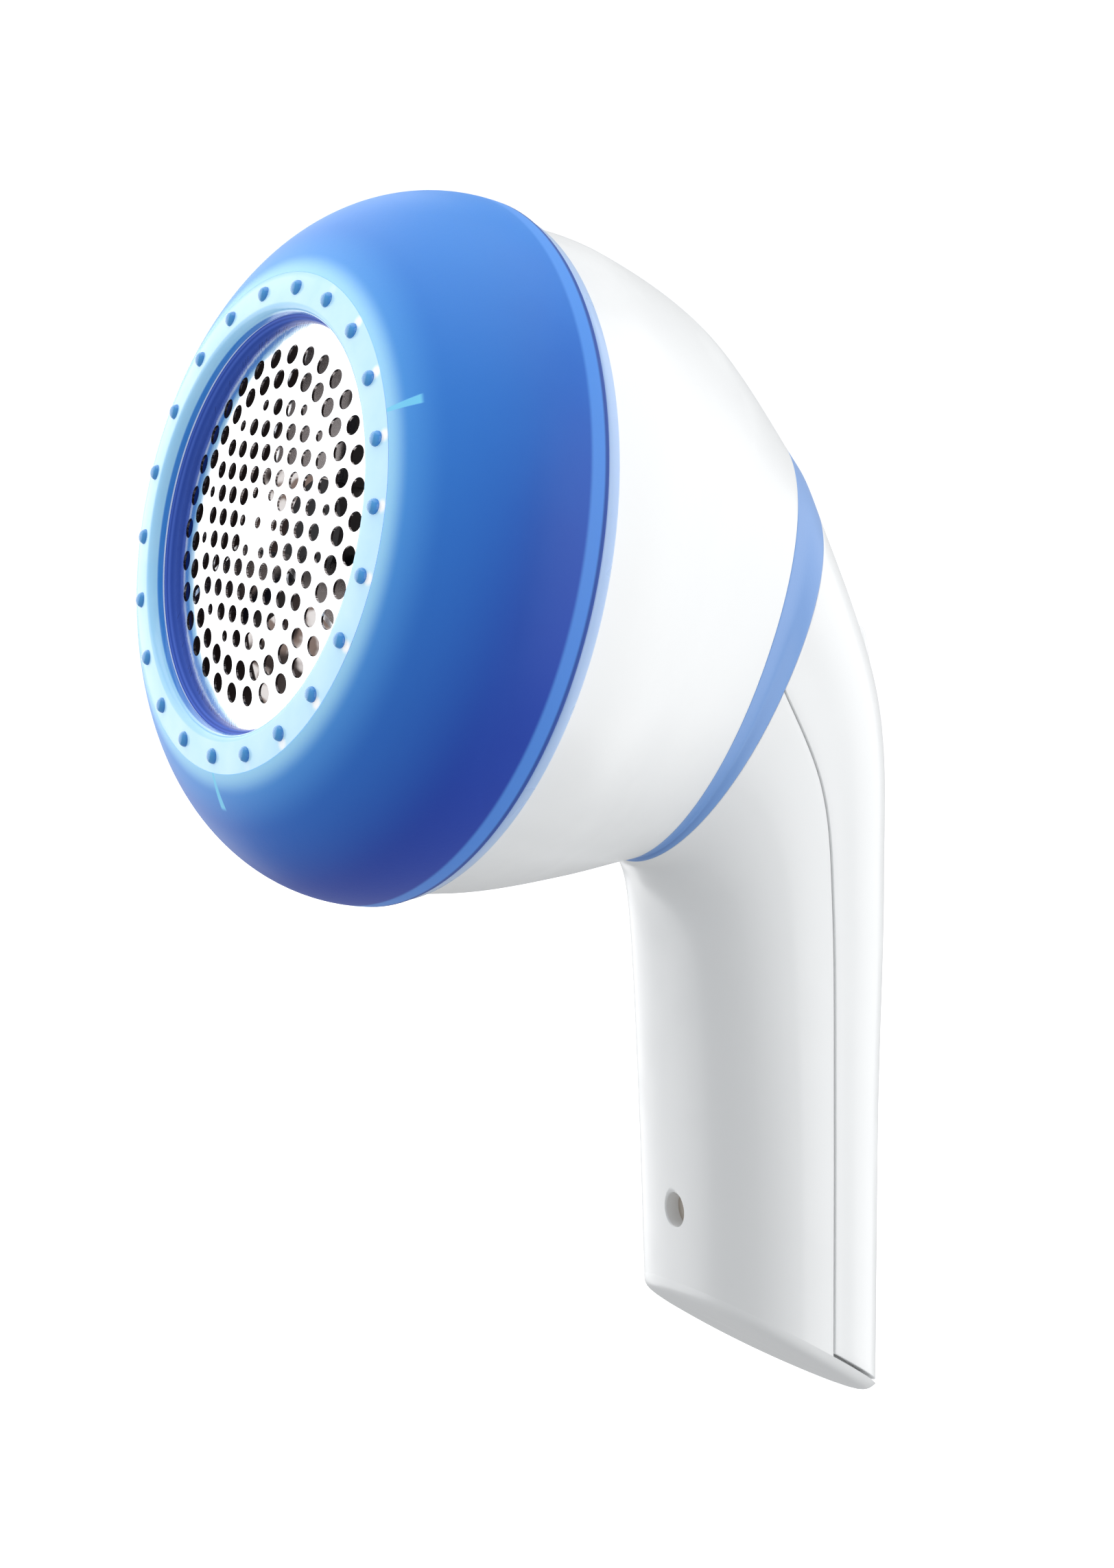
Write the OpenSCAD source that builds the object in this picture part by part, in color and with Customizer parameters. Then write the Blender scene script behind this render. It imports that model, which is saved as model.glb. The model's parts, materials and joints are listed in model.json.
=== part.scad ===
// Hand-held fabric shaver.
// The origin is the middle of the shaving face. The face looks along -Y, the
// head axis runs back along +Y, the handle hangs down along -Z and X is sideways.

/* [Head] */
// Radius of the circle that the face nubs stand on
nub_circle_r = 27; // [22:0.5:33]
// Number of nubs round the face
nub_count = 22; // [12:1:30]
// Diameter of one nub
nub_d = 1.6; // [1.2:0.1:2]
// Height of one nub in front of the face
nub_h = 1; // [0.6:0.1:1.4]
// Half the width of the flat ring that carries the nubs
face_ring_half = 1.9; // [1.5:0.1:2.4]
// How far the guard bulges outside its flat ring
guard_bulge = 12.7; // [10:0.1:15]
// Depth behind the face of the guard's widest circle
guard_bulge_y = 18.4; // [17:0.1:19]
// Wall of the guard
guard_wall = 2; // [1.2:0.1:2.4]

/* [Foil] */
// Radius of the foil's dome
dome_r = 121.5; // [100:0.5:150]
// Thickness of the foil
foil_t = 0.3; // [0.2:0.05:0.4]
// Diameter of the holes in the two outer rings
ring_hole_d = 2.35; // [1.6:0.05:2.45]
// Diameter of the holes in the hexagonal field
field_hole_d = 2.05; // [1.5:0.05:2.2]
// Diameter of the small holes at the middle and the corners of the field
small_hole_d = 1.35; // [1:0.05:1.6]
// Number of holes in each outer ring
ring_holes = 32; // [20:1:34]

/* [Body] */
// Wall of the housing, the band and the handle
wall = 2; // [1.4:0.1:2.4]
// Depth of the housing's front edge
rim_y = 22; // [22:0.5:25]
// Length of the housing's underside, from its front edge to the throat
neck_run = 33.4; // [30:0.2:40]
// Height of the neck above the throat
neck_h = 54.3; // [50:0.1:57]
// Half the width of the neck
neck_half_w = 17.4; // [16.6:0.1:21]
// Backward lean of the handle from square to the head axis
handle_tilt = 13; // [11:0.5:15]
// Length of the handle's front, from the throat to the foot
handle_len = 53; // [52:0.5:64]
// Half the width of the handle
handle_half_w = 17.2; // [16.8:0.1:21]
// Thickness of the handle
handle_t = 25; // [24.6:0.2:30]
// How much lower the back of the foot is than its front
foot_rake = 15; // [11:0.5:17]
// Width of the seam between the handle's two shells
seam = 0.25; // [0.15:0.05:0.4]

/* [Drive] */
// Radius of the motor can
motor_r = 12; // [10:0.1:12.4]
// Length of the motor, end cap included
motor_len = 27; // [23:0.5:27.5]
// Radius of the motor shaft
shaft_r = 1; // [0.8:0.05:1.2]
// Radial clearance of the shaft in its bushes
shaft_gap = 0.05; // [0.02:0.01:0.1]
// Thickness of one blade
blade_t = 0.6; // [0.4:0.1:0.8]
// Gap between the blades and the foil
blade_gap = 0.4; // [0.35:0.05:0.6]
// Spring travel of the blade unit
float_travel = 1; // [0.6:0.1:1.1]

/* [Power] */
// Radius of one cell
cell_r = 7.1; // [5.8:0.05:7.2]
// Length of one cell
cell_len = 43; // [36:0.5:44]
// Radius of the charging jack's bore
jack_r = 1.75; // [1.4:0.05:2]
// Radius of the hole in the handle in front of the jack
inlet_r = 2.1; // [2.1:0.05:2.6]
// Depth of the jack's bore
jack_depth = 8.5; // [7:0.5:9.5]
// Distance of the jack below the throat, along the handle
jack_s = 44; // [43.5:0.5:46]
// Travel of the thumb switch
switch_travel = 4; // [3:0.5:5]
// Length and width of the thumb pad
pad_size = [9, 9];

/* [Hidden] */

gap = 0.4;                 // clearance between pieces that move past each other
slip = 0.15;               // clearance between pieces that only fit together
round_fn = 96;             // facets that a shown circle is drawn with
around = 48;               // points round a body section
steps = 5;                 // sections from one station to the next

// ---- Head: circles shared by the guard, the foil and the chamber ----
guard_open_r = nub_circle_r - face_ring_half;
guard_flat_r = nub_circle_r + face_ring_half;
guard_max_r = guard_flat_r + guard_bulge;
guard_rise = 23.4;         // radial half-axis of the guard's elliptical flank
guard_mid_r = guard_max_r - guard_rise;
guard_run = guard_bulge_y / sqrt(1 - pow((guard_flat_r - guard_mid_r) / guard_rise, 2));
face_t = 1.3;              // thickness of the flat ring
collar_t = 1.1;            // thickness of the pale rim behind the guard
guard_depth = rim_y - collar_t - 0.1;
spigot_front = 13;
rim_r = guard_max_r - 1.8; // radius of the housing's front edge
collar_r = rim_r + 0.7;
spigot_r = guard_max_r - guard_wall - 1.2;

foil_r = guard_open_r - 0.8;           // radius at which the foil's dome ends
ring_lip = 0.68;                       // thickness of the lip that holds the foil
foil_rise = foil_r * foil_r / (2 * dome_r);
apex_y = max(0, face_t + gap + ring_lip - foil_rise);
foil_edge_y = apex_y + foil_rise;
ring_front = foil_edge_y - ring_lip;
guard_in_r = guard_mid_r + (guard_rise - guard_wall)
    * sqrt(1 - pow((guard_bulge_y - ring_front) / (guard_run - guard_wall), 2));
ring_out_r = min(foil_r + 2.3, guard_in_r - gap);      // outside of the foil ring
ring_wall = 1.1;
foil_flange = ring_out_r - ring_wall - foil_r - 0.1;   // width of the foil's flat edge
ring_back = 12;
lug_h = 1.2;
lug_y = [9.8, 11.2];
lug_half_deg = 7;
twist_deg = 25;

chamber_in_r = ring_out_r + gap;
chamber_ring_r = chamber_in_r + 2.8;
chamber_r = rim_r - 6.8;
chamber_wall = 1.5;
chamber_front = 6;
chamber_back = 34;

bulkhead_t = 2;
motor_y = chamber_back + bulkhead_t;   // front face of the motor can
motor_back = motor_y + motor_len;
cap_len = 3;
can_wall = 1;
boss_r = 3;
screw_r = 1.25;
screw_x = 0.67 * motor_r;
seal_r = screw_x - screw_r - 0.9;

// ---- Handle frame: s runs down the handle, t runs from its front to its back ----
throat = [rim_y + neck_run, 8.2 - rim_r];
handle_dir = [sin(handle_tilt), -cos(handle_tilt)];
across_dir = [cos(handle_tilt), sin(handle_tilt)];
function handle_at(s, t) = throat + s * handle_dir + t * across_dir;

belly_t = 7.4;                         // where the handle's front lies in the handle frame
mid_t = belly_t + handle_t / 2;

// A station is [spine y, spine z, belly y, belly z, half width, roundness].
function station(spine, belly, half_w, n) = [spine.x, spine.y, belly.x, belly.y, half_w, n];
neck_dir = [sin(10.2), cos(10.2)];
stations = [
    station([rim_y, rim_r], [rim_y, -rim_r], rim_r, 2),
    station([rim_y + 0.36 * neck_run, 0.97 * rim_r], [rim_y + 0.33 * neck_run, -0.96 * rim_r],
        0.55 * rim_r + 0.725 * neck_half_w, 2.05),
    station([rim_y + 0.84 * neck_run, 0.827 * rim_r], [rim_y + 0.69 * neck_run, -0.88 * rim_r],
        0.25 * rim_r + 0.865 * neck_half_w, 2.1),
    station(throat + neck_h * neck_dir, throat, neck_half_w, 2.1),
    station(handle_at(12.1 - neck_h, handle_t + 0.8), handle_at(0.4, 1.6),
        0.65 * neck_half_w + 0.3 * handle_half_w, 2.1),
    station(handle_at(-19.5, handle_t + 8.6), handle_at(2.3, 3.8), 0.988 * handle_half_w, 2.2),
    station(handle_at(4.1, handle_t + 8.7), handle_at(9, 6.1), handle_half_w, 2.3),
    station(handle_at(0.61 * handle_len, handle_t + 7.4), handle_at(0.59 * handle_len, belly_t),
        handle_half_w, 2.3),
    station(handle_at(handle_len + foot_rake, handle_t + 6.8), handle_at(handle_len, 7.9),
        0.977 * handle_half_w, 2.3)
];
rim_u = 0;
band_u = [3, 4];
foot_u = 8;

// Value of one column of the stations at any place between them, on a smooth curve.
function smooth(a, b, c, d, f) =
    0.5 * (2 * b + (c - a) * f + (2 * a - 5 * b + 4 * c - d) * f * f + (3 * b - a - 3 * c + d) * f * f * f);
function stage(i) = i < 0 ? 2 * stations[0] - stations[1]
    : i >= len(stations) ? 2 * stations[len(stations) - 1] - stations[len(stations) - 2]
    : stations[i];
function body_at(u) =
    let (i = min(floor(u), len(stations) - 2), f = u - i)
    smooth(stage(i - 1), stage(i), stage(i + 1), stage(i + 2), f);

// Point of the section at u: the angle starts at the spine, inset moves it inwards.
function spow(v, p) = sign(v) * pow(abs(v), p);
function skin_point(u, angle, inset = 0) =
    let (s = body_at(u),
        half = [s[0] - s[2], s[1] - s[3]] / 2,
        axis = half * (1 - inset / norm(half)),
        mid = [s[0] + s[2], s[1] + s[3]] / 2,
        c = spow(cos(angle), 2 / s[5]),
        w = (s[4] - inset) * spow(sin(angle), 2 / s[5]))
    [w, mid.x + axis.x * c, mid.y + axis.y * c];

// Section whose middle lies at depth y, in front of the neck.
function u_at(y) = let (first = 0.345 * neck_run, second = 0.765 * neck_run, run = y - rim_y)
    run < first ? run / first : 1 + (run - first) / (second - first);
chamber_back_r = body_at(u_at(motor_y))[4] - wall - gap;

// Wall between the outer skin and an inner one, from section u0 to section u1,
// and over the angles from a0 to a1 unless it goes all the way round.
module shell(u0, u1, a0 = 0, a1 = 360, thick = wall) {
    closed = a1 - a0 == 360;
    m = closed ? around : around / 2 + 1;
    n = max(1, round((u1 - u0) * steps));
    pts = [for (k = [0:n]) for (j = [0:m - 1])
        let (u = u0 + (u1 - u0) * k / n, a = a0 + (a1 - a0) * j / (closed ? m : m - 1))
        each [skin_point(u, a), skin_point(u, a, thick)]];
    function id(k, j, inner) = 2 * (k * m + j % m) + inner;
    last = closed ? m - 1 : m - 2;
    sides = [for (k = [0:n - 1]) for (j = [0:last]) each [
        [id(k, j, 0), id(k + 1, j, 0), id(k + 1, j + 1, 0)],
        [id(k, j, 0), id(k + 1, j + 1, 0), id(k, j + 1, 0)],
        [id(k, j, 1), id(k + 1, j + 1, 1), id(k + 1, j, 1)],
        [id(k, j, 1), id(k, j + 1, 1), id(k + 1, j + 1, 1)]]];
    ends = [for (j = [0:last]) each [
        [id(0, j, 0), id(0, j + 1, 0), id(0, j + 1, 1), id(0, j, 1)],
        [id(n, j, 0), id(n, j, 1), id(n, j + 1, 1), id(n, j + 1, 0)]]];
    edges = closed ? [] : [for (k = [0:n - 1]) each [
        [id(k, 0, 0), id(k, 0, 1), id(k + 1, 0, 1)],
        [id(k, 0, 0), id(k + 1, 0, 1), id(k + 1, 0, 0)],
        [id(k, m - 1, 0), id(k + 1, m - 1, 1), id(k, m - 1, 1)],
        [id(k, m - 1, 0), id(k + 1, m - 1, 0), id(k + 1, m - 1, 1)]]];
    polyhedron(pts, concat(sides, ends, edges), convexity = 6);
}

// Tube of wire along a route of points, swept with flat-ended sections.
function unit(v) = v / norm(v);
module tube(route, r, sides = 8) {
    n = len(route);
    function way(i) = unit(route[min(i + 1, n - 1)] - route[max(i - 1, 0)]);
    function side(i) = unit(cross(way(i), abs(way(i).x) < 0.9 ? [1, 0, 0] : [0, 1, 0]));
    pts = [for (i = [0:n - 1]) for (j = [0:sides - 1])
        let (a = 360 * j / sides, p = side(i), q = cross(way(i), p))
        route[i] + r * (cos(a) * p + sin(a) * q)];
    walls = [for (i = [0:n - 2]) for (j = [0:sides - 1])
        let (b = i * sides, k = (j + 1) % sides)
        each [[b + j, b + sides + j, b + sides + k], [b + j, b + sides + k, b + k]]];
    polyhedron(pts, concat(walls, [[for (j = [0:sides - 1]) j],
        [for (j = [sides - 1:-1:0]) (n - 1) * sides + j]]), convexity = 8);
}

// Route with points put in between its own, so that a wire bends softly.
function soften(route, k = 3) = [for (i = [0:len(route) - 2]) for (j = [0:k - 1])
    smooth(route[max(i - 1, 0)], route[i], route[i + 1], route[min(i + 2, len(route) - 1)], j / k),
    route[len(route) - 1]];

// Puts pieces drawn round +Z onto the head axis, with z as the depth behind the face.
module head() rotate([-90, 0, 0]) children();
// Ring drawn round the head axis from one radius and depth to another.
module ring(r_in, r_out, y0, y1) head() translate([0, 0, y0]) difference() {
    cylinder(r = r_out, h = y1 - y0, $fn = round_fn);
    translate([0, 0, -1]) cylinder(r = r_in, h = y1 - y0 + 2, $fn = round_fn);
}
// Solid of revolution round the head axis from a list of [radius, depth].
module turned(profile) head() rotate_extrude($fn = round_fn) polygon(profile);
// Puts pieces into the handle frame: y to the back, z up the handle.
module in_handle(s, t) {
    at = handle_at(s, t);
    translate([0, at.x, at.y]) rotate([handle_tilt, 0, 0]) children();
}

// ---- Guard ----
function flank(run, rise, a) = [guard_mid_r + rise * cos(a), guard_bulge_y - run * sin(a)];
function flank_angle(run, y) = asin((guard_bulge_y - y) / run);
flank_steps = 10;
guard_profile = concat(
    [for (i = [0:flank_steps]) let (a0 = flank_angle(guard_run, 0), a1 = flank_angle(guard_run, guard_depth))
        flank(guard_run, guard_rise, a0 + (a1 - a0) * i / flank_steps)],
    [for (i = [flank_steps:-1:0]) let (run = guard_run - guard_wall, a0 = flank_angle(run, face_t),
        a1 = flank_angle(run, guard_depth))
        flank(run, guard_rise - guard_wall, a0 + (a1 - a0) * i / flank_steps)]);
flank_foot_r = flank(guard_run - guard_wall, guard_rise - guard_wall,
    flank_angle(guard_run - guard_wall, face_t)).x;    // where the flank's inside meets the ring's back

module guard_cap() color([0.2, 0.45, 0.8, 0.8]) turned(guard_profile);

// The clear ring in the middle of the guard is moulded on to the frosted flank.
module face_ring() color([0.6, 0.85, 0.95, 0.7]) {
    difference() {
        turned([[guard_open_r, 0.3], [guard_open_r + 0.3, 0], [guard_flat_r, 0],
            [flank_foot_r, face_t], [guard_open_r, face_t]]);
        // three shallow marks in the wall of the opening
        for (a = [30:120:270]) rotate([0, -a, 0])
            translate([guard_open_r - 0.2, -0.1, -2]) cube([0.8, 0.7, 4]);
    }
    for (i = [0:nub_count - 1]) rotate([0, 90 + 360 * i / nub_count, 0])
        translate([nub_circle_r, 0, 0]) rotate([90, 0, 0]) nub();
}
// A nub is a short post with a domed end.
module nub() {
    dome = nub_d * 0.35;
    rotate_extrude($fn = 24) polygon([[0, -0.2], [nub_d / 2, -0.2], [nub_d / 2, nub_h - dome],
        [nub_d * 0.35, nub_h - dome * 0.3], [nub_d * 0.15, nub_h], [0, nub_h]]);
}

module collar_ring() color([0.62, 0.75, 0.9]) {
    in_r = chamber_r + 0.2;
    collar_y = rim_y - collar_t;
    turned([[in_r, collar_y], [spigot_r - 1.8, collar_y], [spigot_r - 1.8, spigot_front],
        [spigot_r - 0.4, spigot_front], [spigot_r, spigot_front + 0.4], [spigot_r, collar_y],
        [collar_r, collar_y], [rim_r, rim_y], [in_r, rim_y]]);
}

// ---- Foil and its ring ----
function dome_y(r) = apex_y + r * r / (2 * dome_r);
foil_steps = 6;
field_pitch = (foil_r - 8.8) / 5;
near_r = 1.235 * field_pitch;          // the six holes round the middle stand a little out

module foil_holes() {
    for (i = [0:ring_holes - 1]) {
        hole_at(foil_r - 4.6, 360 * (i + 0.5) / ring_holes, ring_hole_d);
        hole_at(foil_r - 7.4, 360 * i / ring_holes, ring_hole_d);
    }
    for (q = [-5:5]) for (r = [max(-5, -5 - q):min(5, 5 - q)]) {
        sizes = [abs(q), abs(r), abs(q + r)];
        biggest = max(sizes);
        middle = biggest == 0;
        nearest = biggest == 1;
        corner = biggest == 5 && min(sizes) == 0;
        beside = biggest == 5 && min(sizes) == 1;
        x = field_pitch * (q + r / 2);
        z = field_pitch * r * sqrt(3) / 2;
        if (!corner) hole_at(nearest ? near_r : norm([x, z]), middle ? 0 : atan2(z, x),
            middle || nearest || beside ? small_hole_d : field_hole_d);
    }
}
module hole_at(r, a, d) rotate([0, -a, 0]) translate([r, -1, 0]) rotate([-90, 0, 0])
    cylinder(d = d, h = foil_edge_y + foil_t + 2, $fn = 20);

module foil() color("silver") difference() {
    turned(concat(
        [for (i = [0:foil_steps]) [foil_r * i / foil_steps, dome_y(foil_r * i / foil_steps)]],
        [[foil_r + foil_flange, foil_edge_y], [foil_r + foil_flange, foil_edge_y + foil_t]],
        [for (i = [foil_steps:-1:0]) [foil_r * i / foil_steps, dome_y(foil_r * i / foil_steps) + foil_t]]));
    foil_holes();
}

module foil_ring() color("gainsboro") {
    turned([[foil_r + 0.1, ring_front], [ring_out_r - 0.8, ring_front], [ring_out_r, ring_front + 0.9],
        [ring_out_r, ring_back],
        [ring_out_r - ring_wall + 0.02, ring_back], [ring_out_r - ring_wall + 0.02, foil_edge_y],
        [foil_r + 0.1, foil_edge_y]]);
    for (a = [90:120:330]) sector(ring_out_r - 0.3, ring_out_r + lug_h, lug_y[0], lug_y[1],
        a - lug_half_deg, a + lug_half_deg);
}
// Part of a ring between two angles, counted from +X towards +Z.
module sector(r_in, r_out, y0, y1, a0, a1) rotate([0, -a1, 0]) head()
    rotate_extrude(angle = a1 - a0, $fn = round_fn)
    polygon([[r_in, y0], [r_out, y0], [r_out, y1], [r_in, y1]]);

// ---- Lint chamber ----
module lint_chamber() color([0.85, 0.9, 0.95]) {
    flange_y = rim_y;
    flange_r = body_at(u_at(flange_y + 1.5))[4] - wall - slip;
    difference() {
        turned([[chamber_in_r, chamber_front], [chamber_ring_r, chamber_front], [chamber_ring_r, 12],
            [chamber_r, 15.5], [chamber_r, flange_y], [flange_r, flange_y],
            [flange_r, flange_y + 1.5], [chamber_r, flange_y + 1.5],
            [chamber_back_r, chamber_back], [seal_r + 0.1, chamber_back],
            [seal_r + 0.1, chamber_back - chamber_wall],
            [chamber_back_r - chamber_wall, chamber_back - chamber_wall],
            [chamber_r - chamber_wall, flange_y + 1.5], [chamber_r - chamber_wall, 16],
            [chamber_in_r + 1.6, 13], [chamber_in_r, 13]]);
        // bayonet grooves: the lugs go in at the far end and turn back to the near end
        for (a = [90:120:330]) {
            reach = lug_half_deg + 2;
            sector(chamber_in_r - 0.5, ring_out_r + lug_h + gap, lug_y[0] - gap, lug_y[1] + gap,
                a - reach, a + reach + twist_deg);
            sector(chamber_in_r - 0.5, ring_out_r + lug_h + gap, chamber_front - 1, lug_y[1] + gap,
                a + twist_deg - reach, a + twist_deg + reach);
        }
        for (x = [-screw_x, screw_x]) translate([x, chamber_back, 0]) rotate([90, 0, 0])
            translate([0, 0, -1]) cylinder(r = screw_r + 0.1, h = 4, $fn = 32);
    }
}
module shaft_seal() color("dimgray") ring(shaft_r + 0.3, seal_r, chamber_back - chamber_wall, chamber_back);

// ---- Motor ----
module motor_bulkhead() color("whitesmoke") difference() {
    ring(boss_r + slip, chamber_back_r, chamber_back, motor_y);
    for (x = [-screw_x, screw_x]) translate([x, motor_y + 1, 0]) rotate([90, 0, 0])
        cylinder(r = screw_r + 0.1, h = 4, $fn = 32);
}
module motor_can() color("lightsteelblue") difference() {
    turned([[shaft_r + 1.8, motor_y - 1.4], [boss_r, motor_y - 1.4], [boss_r, motor_y], [motor_r, motor_y],
        [motor_r, motor_back - cap_len], [motor_r - can_wall, motor_back - cap_len],
        [motor_r - can_wall, motor_y + can_wall], [shaft_r + 1.8, motor_y + can_wall]]);
    for (x = [-screw_x, screw_x]) translate([x, motor_y + 2, 0]) rotate([90, 0, 0])
        cylinder(r = screw_r + 0.05, h = 3, $fn = 32);
}
module motor_magnets() color("dimgray") for (a = [0, 180])
    sector(motor_r - can_wall - 1.6, motor_r - can_wall - 0.05, motor_y + 3.5, motor_back - cap_len - 3,
        a - 55, a + 55);
module motor_end_cap() color([0.15, 0.15, 0.17]) {
    turned([[shaft_r + 1.8, motor_back - cap_len], [motor_r, motor_back - cap_len],
        [motor_r, motor_back - 0.6], [motor_r - 0.6, motor_back], [shaft_r + 1.8, motor_back]]);
}
module motor_bushes() color("goldenrod") {
    ring(shaft_r + shaft_gap, shaft_r + 1.8, motor_y - 1.4, motor_y + can_wall);
    ring(shaft_r + shaft_gap, shaft_r + 1.8, motor_back - cap_len, motor_back - 0.3);
}
terminal_x = 0.5 * motor_r;
terminal_size = [2.6, 3.2, 0.5];
module motor_terminals() color("gold") for (x = [-terminal_x, terminal_x])
    translate([x - terminal_size.x / 2, motor_back, 3]) cube(terminal_size);
module motor_screws() color("silver") for (x = [-screw_x, screw_x])
    translate([x, motor_y + can_wall + 0.8, 0]) rotate([90, 0, 0]) {
        cylinder(r = screw_r, h = can_wall + 0.8 + bulkhead_t + chamber_wall, $fn = 32);
        translate([0, 0, can_wall + 0.8 + bulkhead_t + chamber_wall]) difference() {
            cylinder(r = 2.2, h = 1.3, $fn = 32);
            for (a = [0, 90]) rotate(a) translate([-1.2, -0.25, 0.6]) cube([2.4, 0.5, 1]);
        }
    }

// ---- Rotor ----
sleeve_front = 10.4;
sleeve_flat = 3;                       // half the width across the drive sleeve's flats
sleeve_back = 25;
shaft_back = motor_back - 0.8;
module motor_shaft() color("silver") ring(0, shaft_r, sleeve_front + 0.8, shaft_back);
armature_r = motor_r - can_wall - 1.6 - 0.6;
module armature() color("chocolate") difference() {
    ring(shaft_r, armature_r, motor_y + 4.5, motor_back - cap_len - 4.5);
    for (a = [90:120:330]) rotate([0, -a, 0]) translate([shaft_r + 3, motor_y, -1.1]) cube([12, motor_len, 2.2]);
}
module commutator() color("peru") ring(shaft_r, shaft_r + 2, motor_back - cap_len - 4.5, motor_back - cap_len - 0.8);
// Hexagonal sleeve on the shaft, with a flange that the spring stands on.
module drive_sleeve() color("white") difference() {
    union() {
        translate([0, sleeve_front, 0]) head() cylinder(r = sleeve_flat / cos(30), h = sleeve_back - sleeve_front, $fn = 6);
        ring(0, spring_r + 1.2, sleeve_back - 2, sleeve_back);
    }
    translate([0, sleeve_front + 0.8, 0]) head() cylinder(r = shaft_r, h = 40, $fn = round_fn);
}
spring_r = 5.3;
spring_wire = 0.3;
spring_y = [15.2, sleeve_back - 2];
spring_turns = 4;
module blade_spring() color("silver") tube([for (i = [0:spring_turns * 16])
    let (a = 360 * i / 16, y = spring_y[0] + spring_wire + 0.05
        + (spring_y[1] - spring_y[0] - 2 * spring_wire - 0.1) * i / (spring_turns * 16))
    [spring_r * cos(a), y, spring_r * sin(a)]], spring_wire, 6);

// ---- Blade unit ----
blade_count = 3;
hub_y = [9.5, 12];
hub_boss_r = 6.3;
blade_reach = foil_r - 1.2;
module blade_hub() color([0.15, 0.15, 0.17]) difference() {
    union() {
        ring(0, hub_boss_r, 7.2, spring_y[0]);
        for (i = [0:blade_count - 1]) rotate([0, -360 * i / blade_count - 90, 0])
            translate([2, hub_y[0], -1.6]) cube([blade_reach - 3, hub_y[1] - hub_y[0], 3.2]);
    }
    translate([0, 9, 0]) head() cylinder(r = (sleeve_flat + 0.3) / cos(30), h = 20, $fn = 6);
}
// A blade stands on an arm of the hub, and its front edge follows the dome.
module cutter_blade(i) color("silver") rotate([0, -360 * i / blade_count - 90, 0])
    translate([0, 0, -blade_t / 2]) linear_extrude(blade_t) polygon(concat(
        [[hub_boss_r + 0.1, hub_y[0]]],
        [for (k = [0:4]) let (r = hub_boss_r + 0.1 + (blade_reach - hub_boss_r - 0.1) * k / 4)
            [r, dome_y(r) + foil_t + blade_gap]],
        [[blade_reach, hub_y[0]]]));
module cutter_blade_1() cutter_blade(0);
module cutter_blade_2() cutter_blade(1);
module cutter_blade_3() cutter_blade(2);

// ---- Body shells ----
module head_housing() color("white") shell(rim_u, band_u[0]);
module accent_band() color([0.45, 0.6, 0.82]) shell(band_u[0], band_u[1]);

seam_deg = asin(seam / handle_half_w);
boss_x = handle_half_w - 7.2;
boss_len = 8;
module handle_shell() color("white") difference() {
    union() {
        shell(band_u[1], foot_u, 90 + seam_deg, 270 - seam_deg);
        for (x = [-boss_x, boss_x]) in_handle(jack_s, mid_t - seam) translate([x, 0, 0])
            rotate([90, 0, 0]) cylinder(r = 2.2, h = boss_len, $fn = 32);
    }
    for (x = [-boss_x, boss_x]) in_handle(jack_s, mid_t) translate([x, 0.1, 0])
        rotate([90, 0, 0]) cylinder(r = 1.1, h = boss_len - 1.2, $fn = 32);
    in_handle(jack_s, belly_t - 3) rotate([-90, 0, 0]) cylinder(r = inlet_r, h = 6, $fn = 48);
}

// The thumb switch stands on the spine, square to it.
switch_u = 5;
spine_point = [stations[switch_u][0], stations[switch_u][1]];
spine_rise = [stations[switch_u + 1][0] - stations[switch_u - 1][0],
    stations[switch_u - 1][1] - stations[switch_u + 1][1]];
switch_lean = atan2(spine_rise.x, spine_rise.y);
module on_spine() translate([0, spine_point.x, spine_point.y]) rotate([switch_lean, 0, 0]) children();
pocket_depth = 1;
pad_t = 2.2;
stem = [3, 3];
rest_z = switch_travel / 2;            // the knob rests at the upper end of its pocket
module rear_cover() color("white") difference() {
    union() {
        shell(band_u[1], foot_u - 0.03, seam_deg - 90, 90 - seam_deg);
        for (x = [-boss_x, boss_x]) in_handle(jack_s, mid_t + seam) translate([x, 0, 0])
            rotate([-90, 0, 0]) cylinder(r = 2.9, h = boss_len, $fn = 32);
    }
    for (x = [-boss_x, boss_x]) in_handle(jack_s, mid_t) translate([x, 0, 0]) rotate([-90, 0, 0]) {
        translate([0, 0, -1]) cylinder(r = 1.6, h = 30, $fn = 32);
        translate([0, 0, 5]) cylinder(r = 2.3, h = 30, $fn = 32);
    }
    on_spine() {
        translate([-pad_size.x / 2 - gap, -pocket_depth, -pad_size.y / 2 - switch_travel / 2 - gap])
            cube([pad_size.x + 2 * gap, 10, pad_size.y + switch_travel + 2 * gap]);
        translate([-stem.x / 2 - gap, -10, -stem.y / 2 - switch_travel / 2 - gap])
            cube([stem.x + 2 * gap, 20, stem.y + switch_travel + 2 * gap]);
    }
}
module end_cap() color("white") {
    s = body_at(foot_u);
    down = unit([s[1] - s[3], s[2] - s[0]]);
    rings = [[foot_u - 0.12, wall + slip, 0], [foot_u, wall + slip, 0], [foot_u, 0, 0],
        [foot_u, 0.25, 0.5], [foot_u, 1, 1.1], [foot_u, 3, 1.6], [foot_u, 7, 1.9]];
    pts = [for (g = rings) for (j = [0:around - 1])
        let (p = skin_point(g[0], 360 * j / around, g[1])) p + [0, down.x, down.y] * g[2]];
    n = len(rings);
    polyhedron(pts, concat(
        [for (k = [0:n - 2]) for (j = [0:around - 1])
            let (b = k * around, i = (j + 1) % around)
            each [[b + j, b + around + j, b + around + i], [b + j, b + around + i, b + i]]],
        [[for (j = [0:around - 1]) j], [for (j = [around - 1:-1:0]) (n - 1) * around + j]]), convexity = 4);
}
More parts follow.
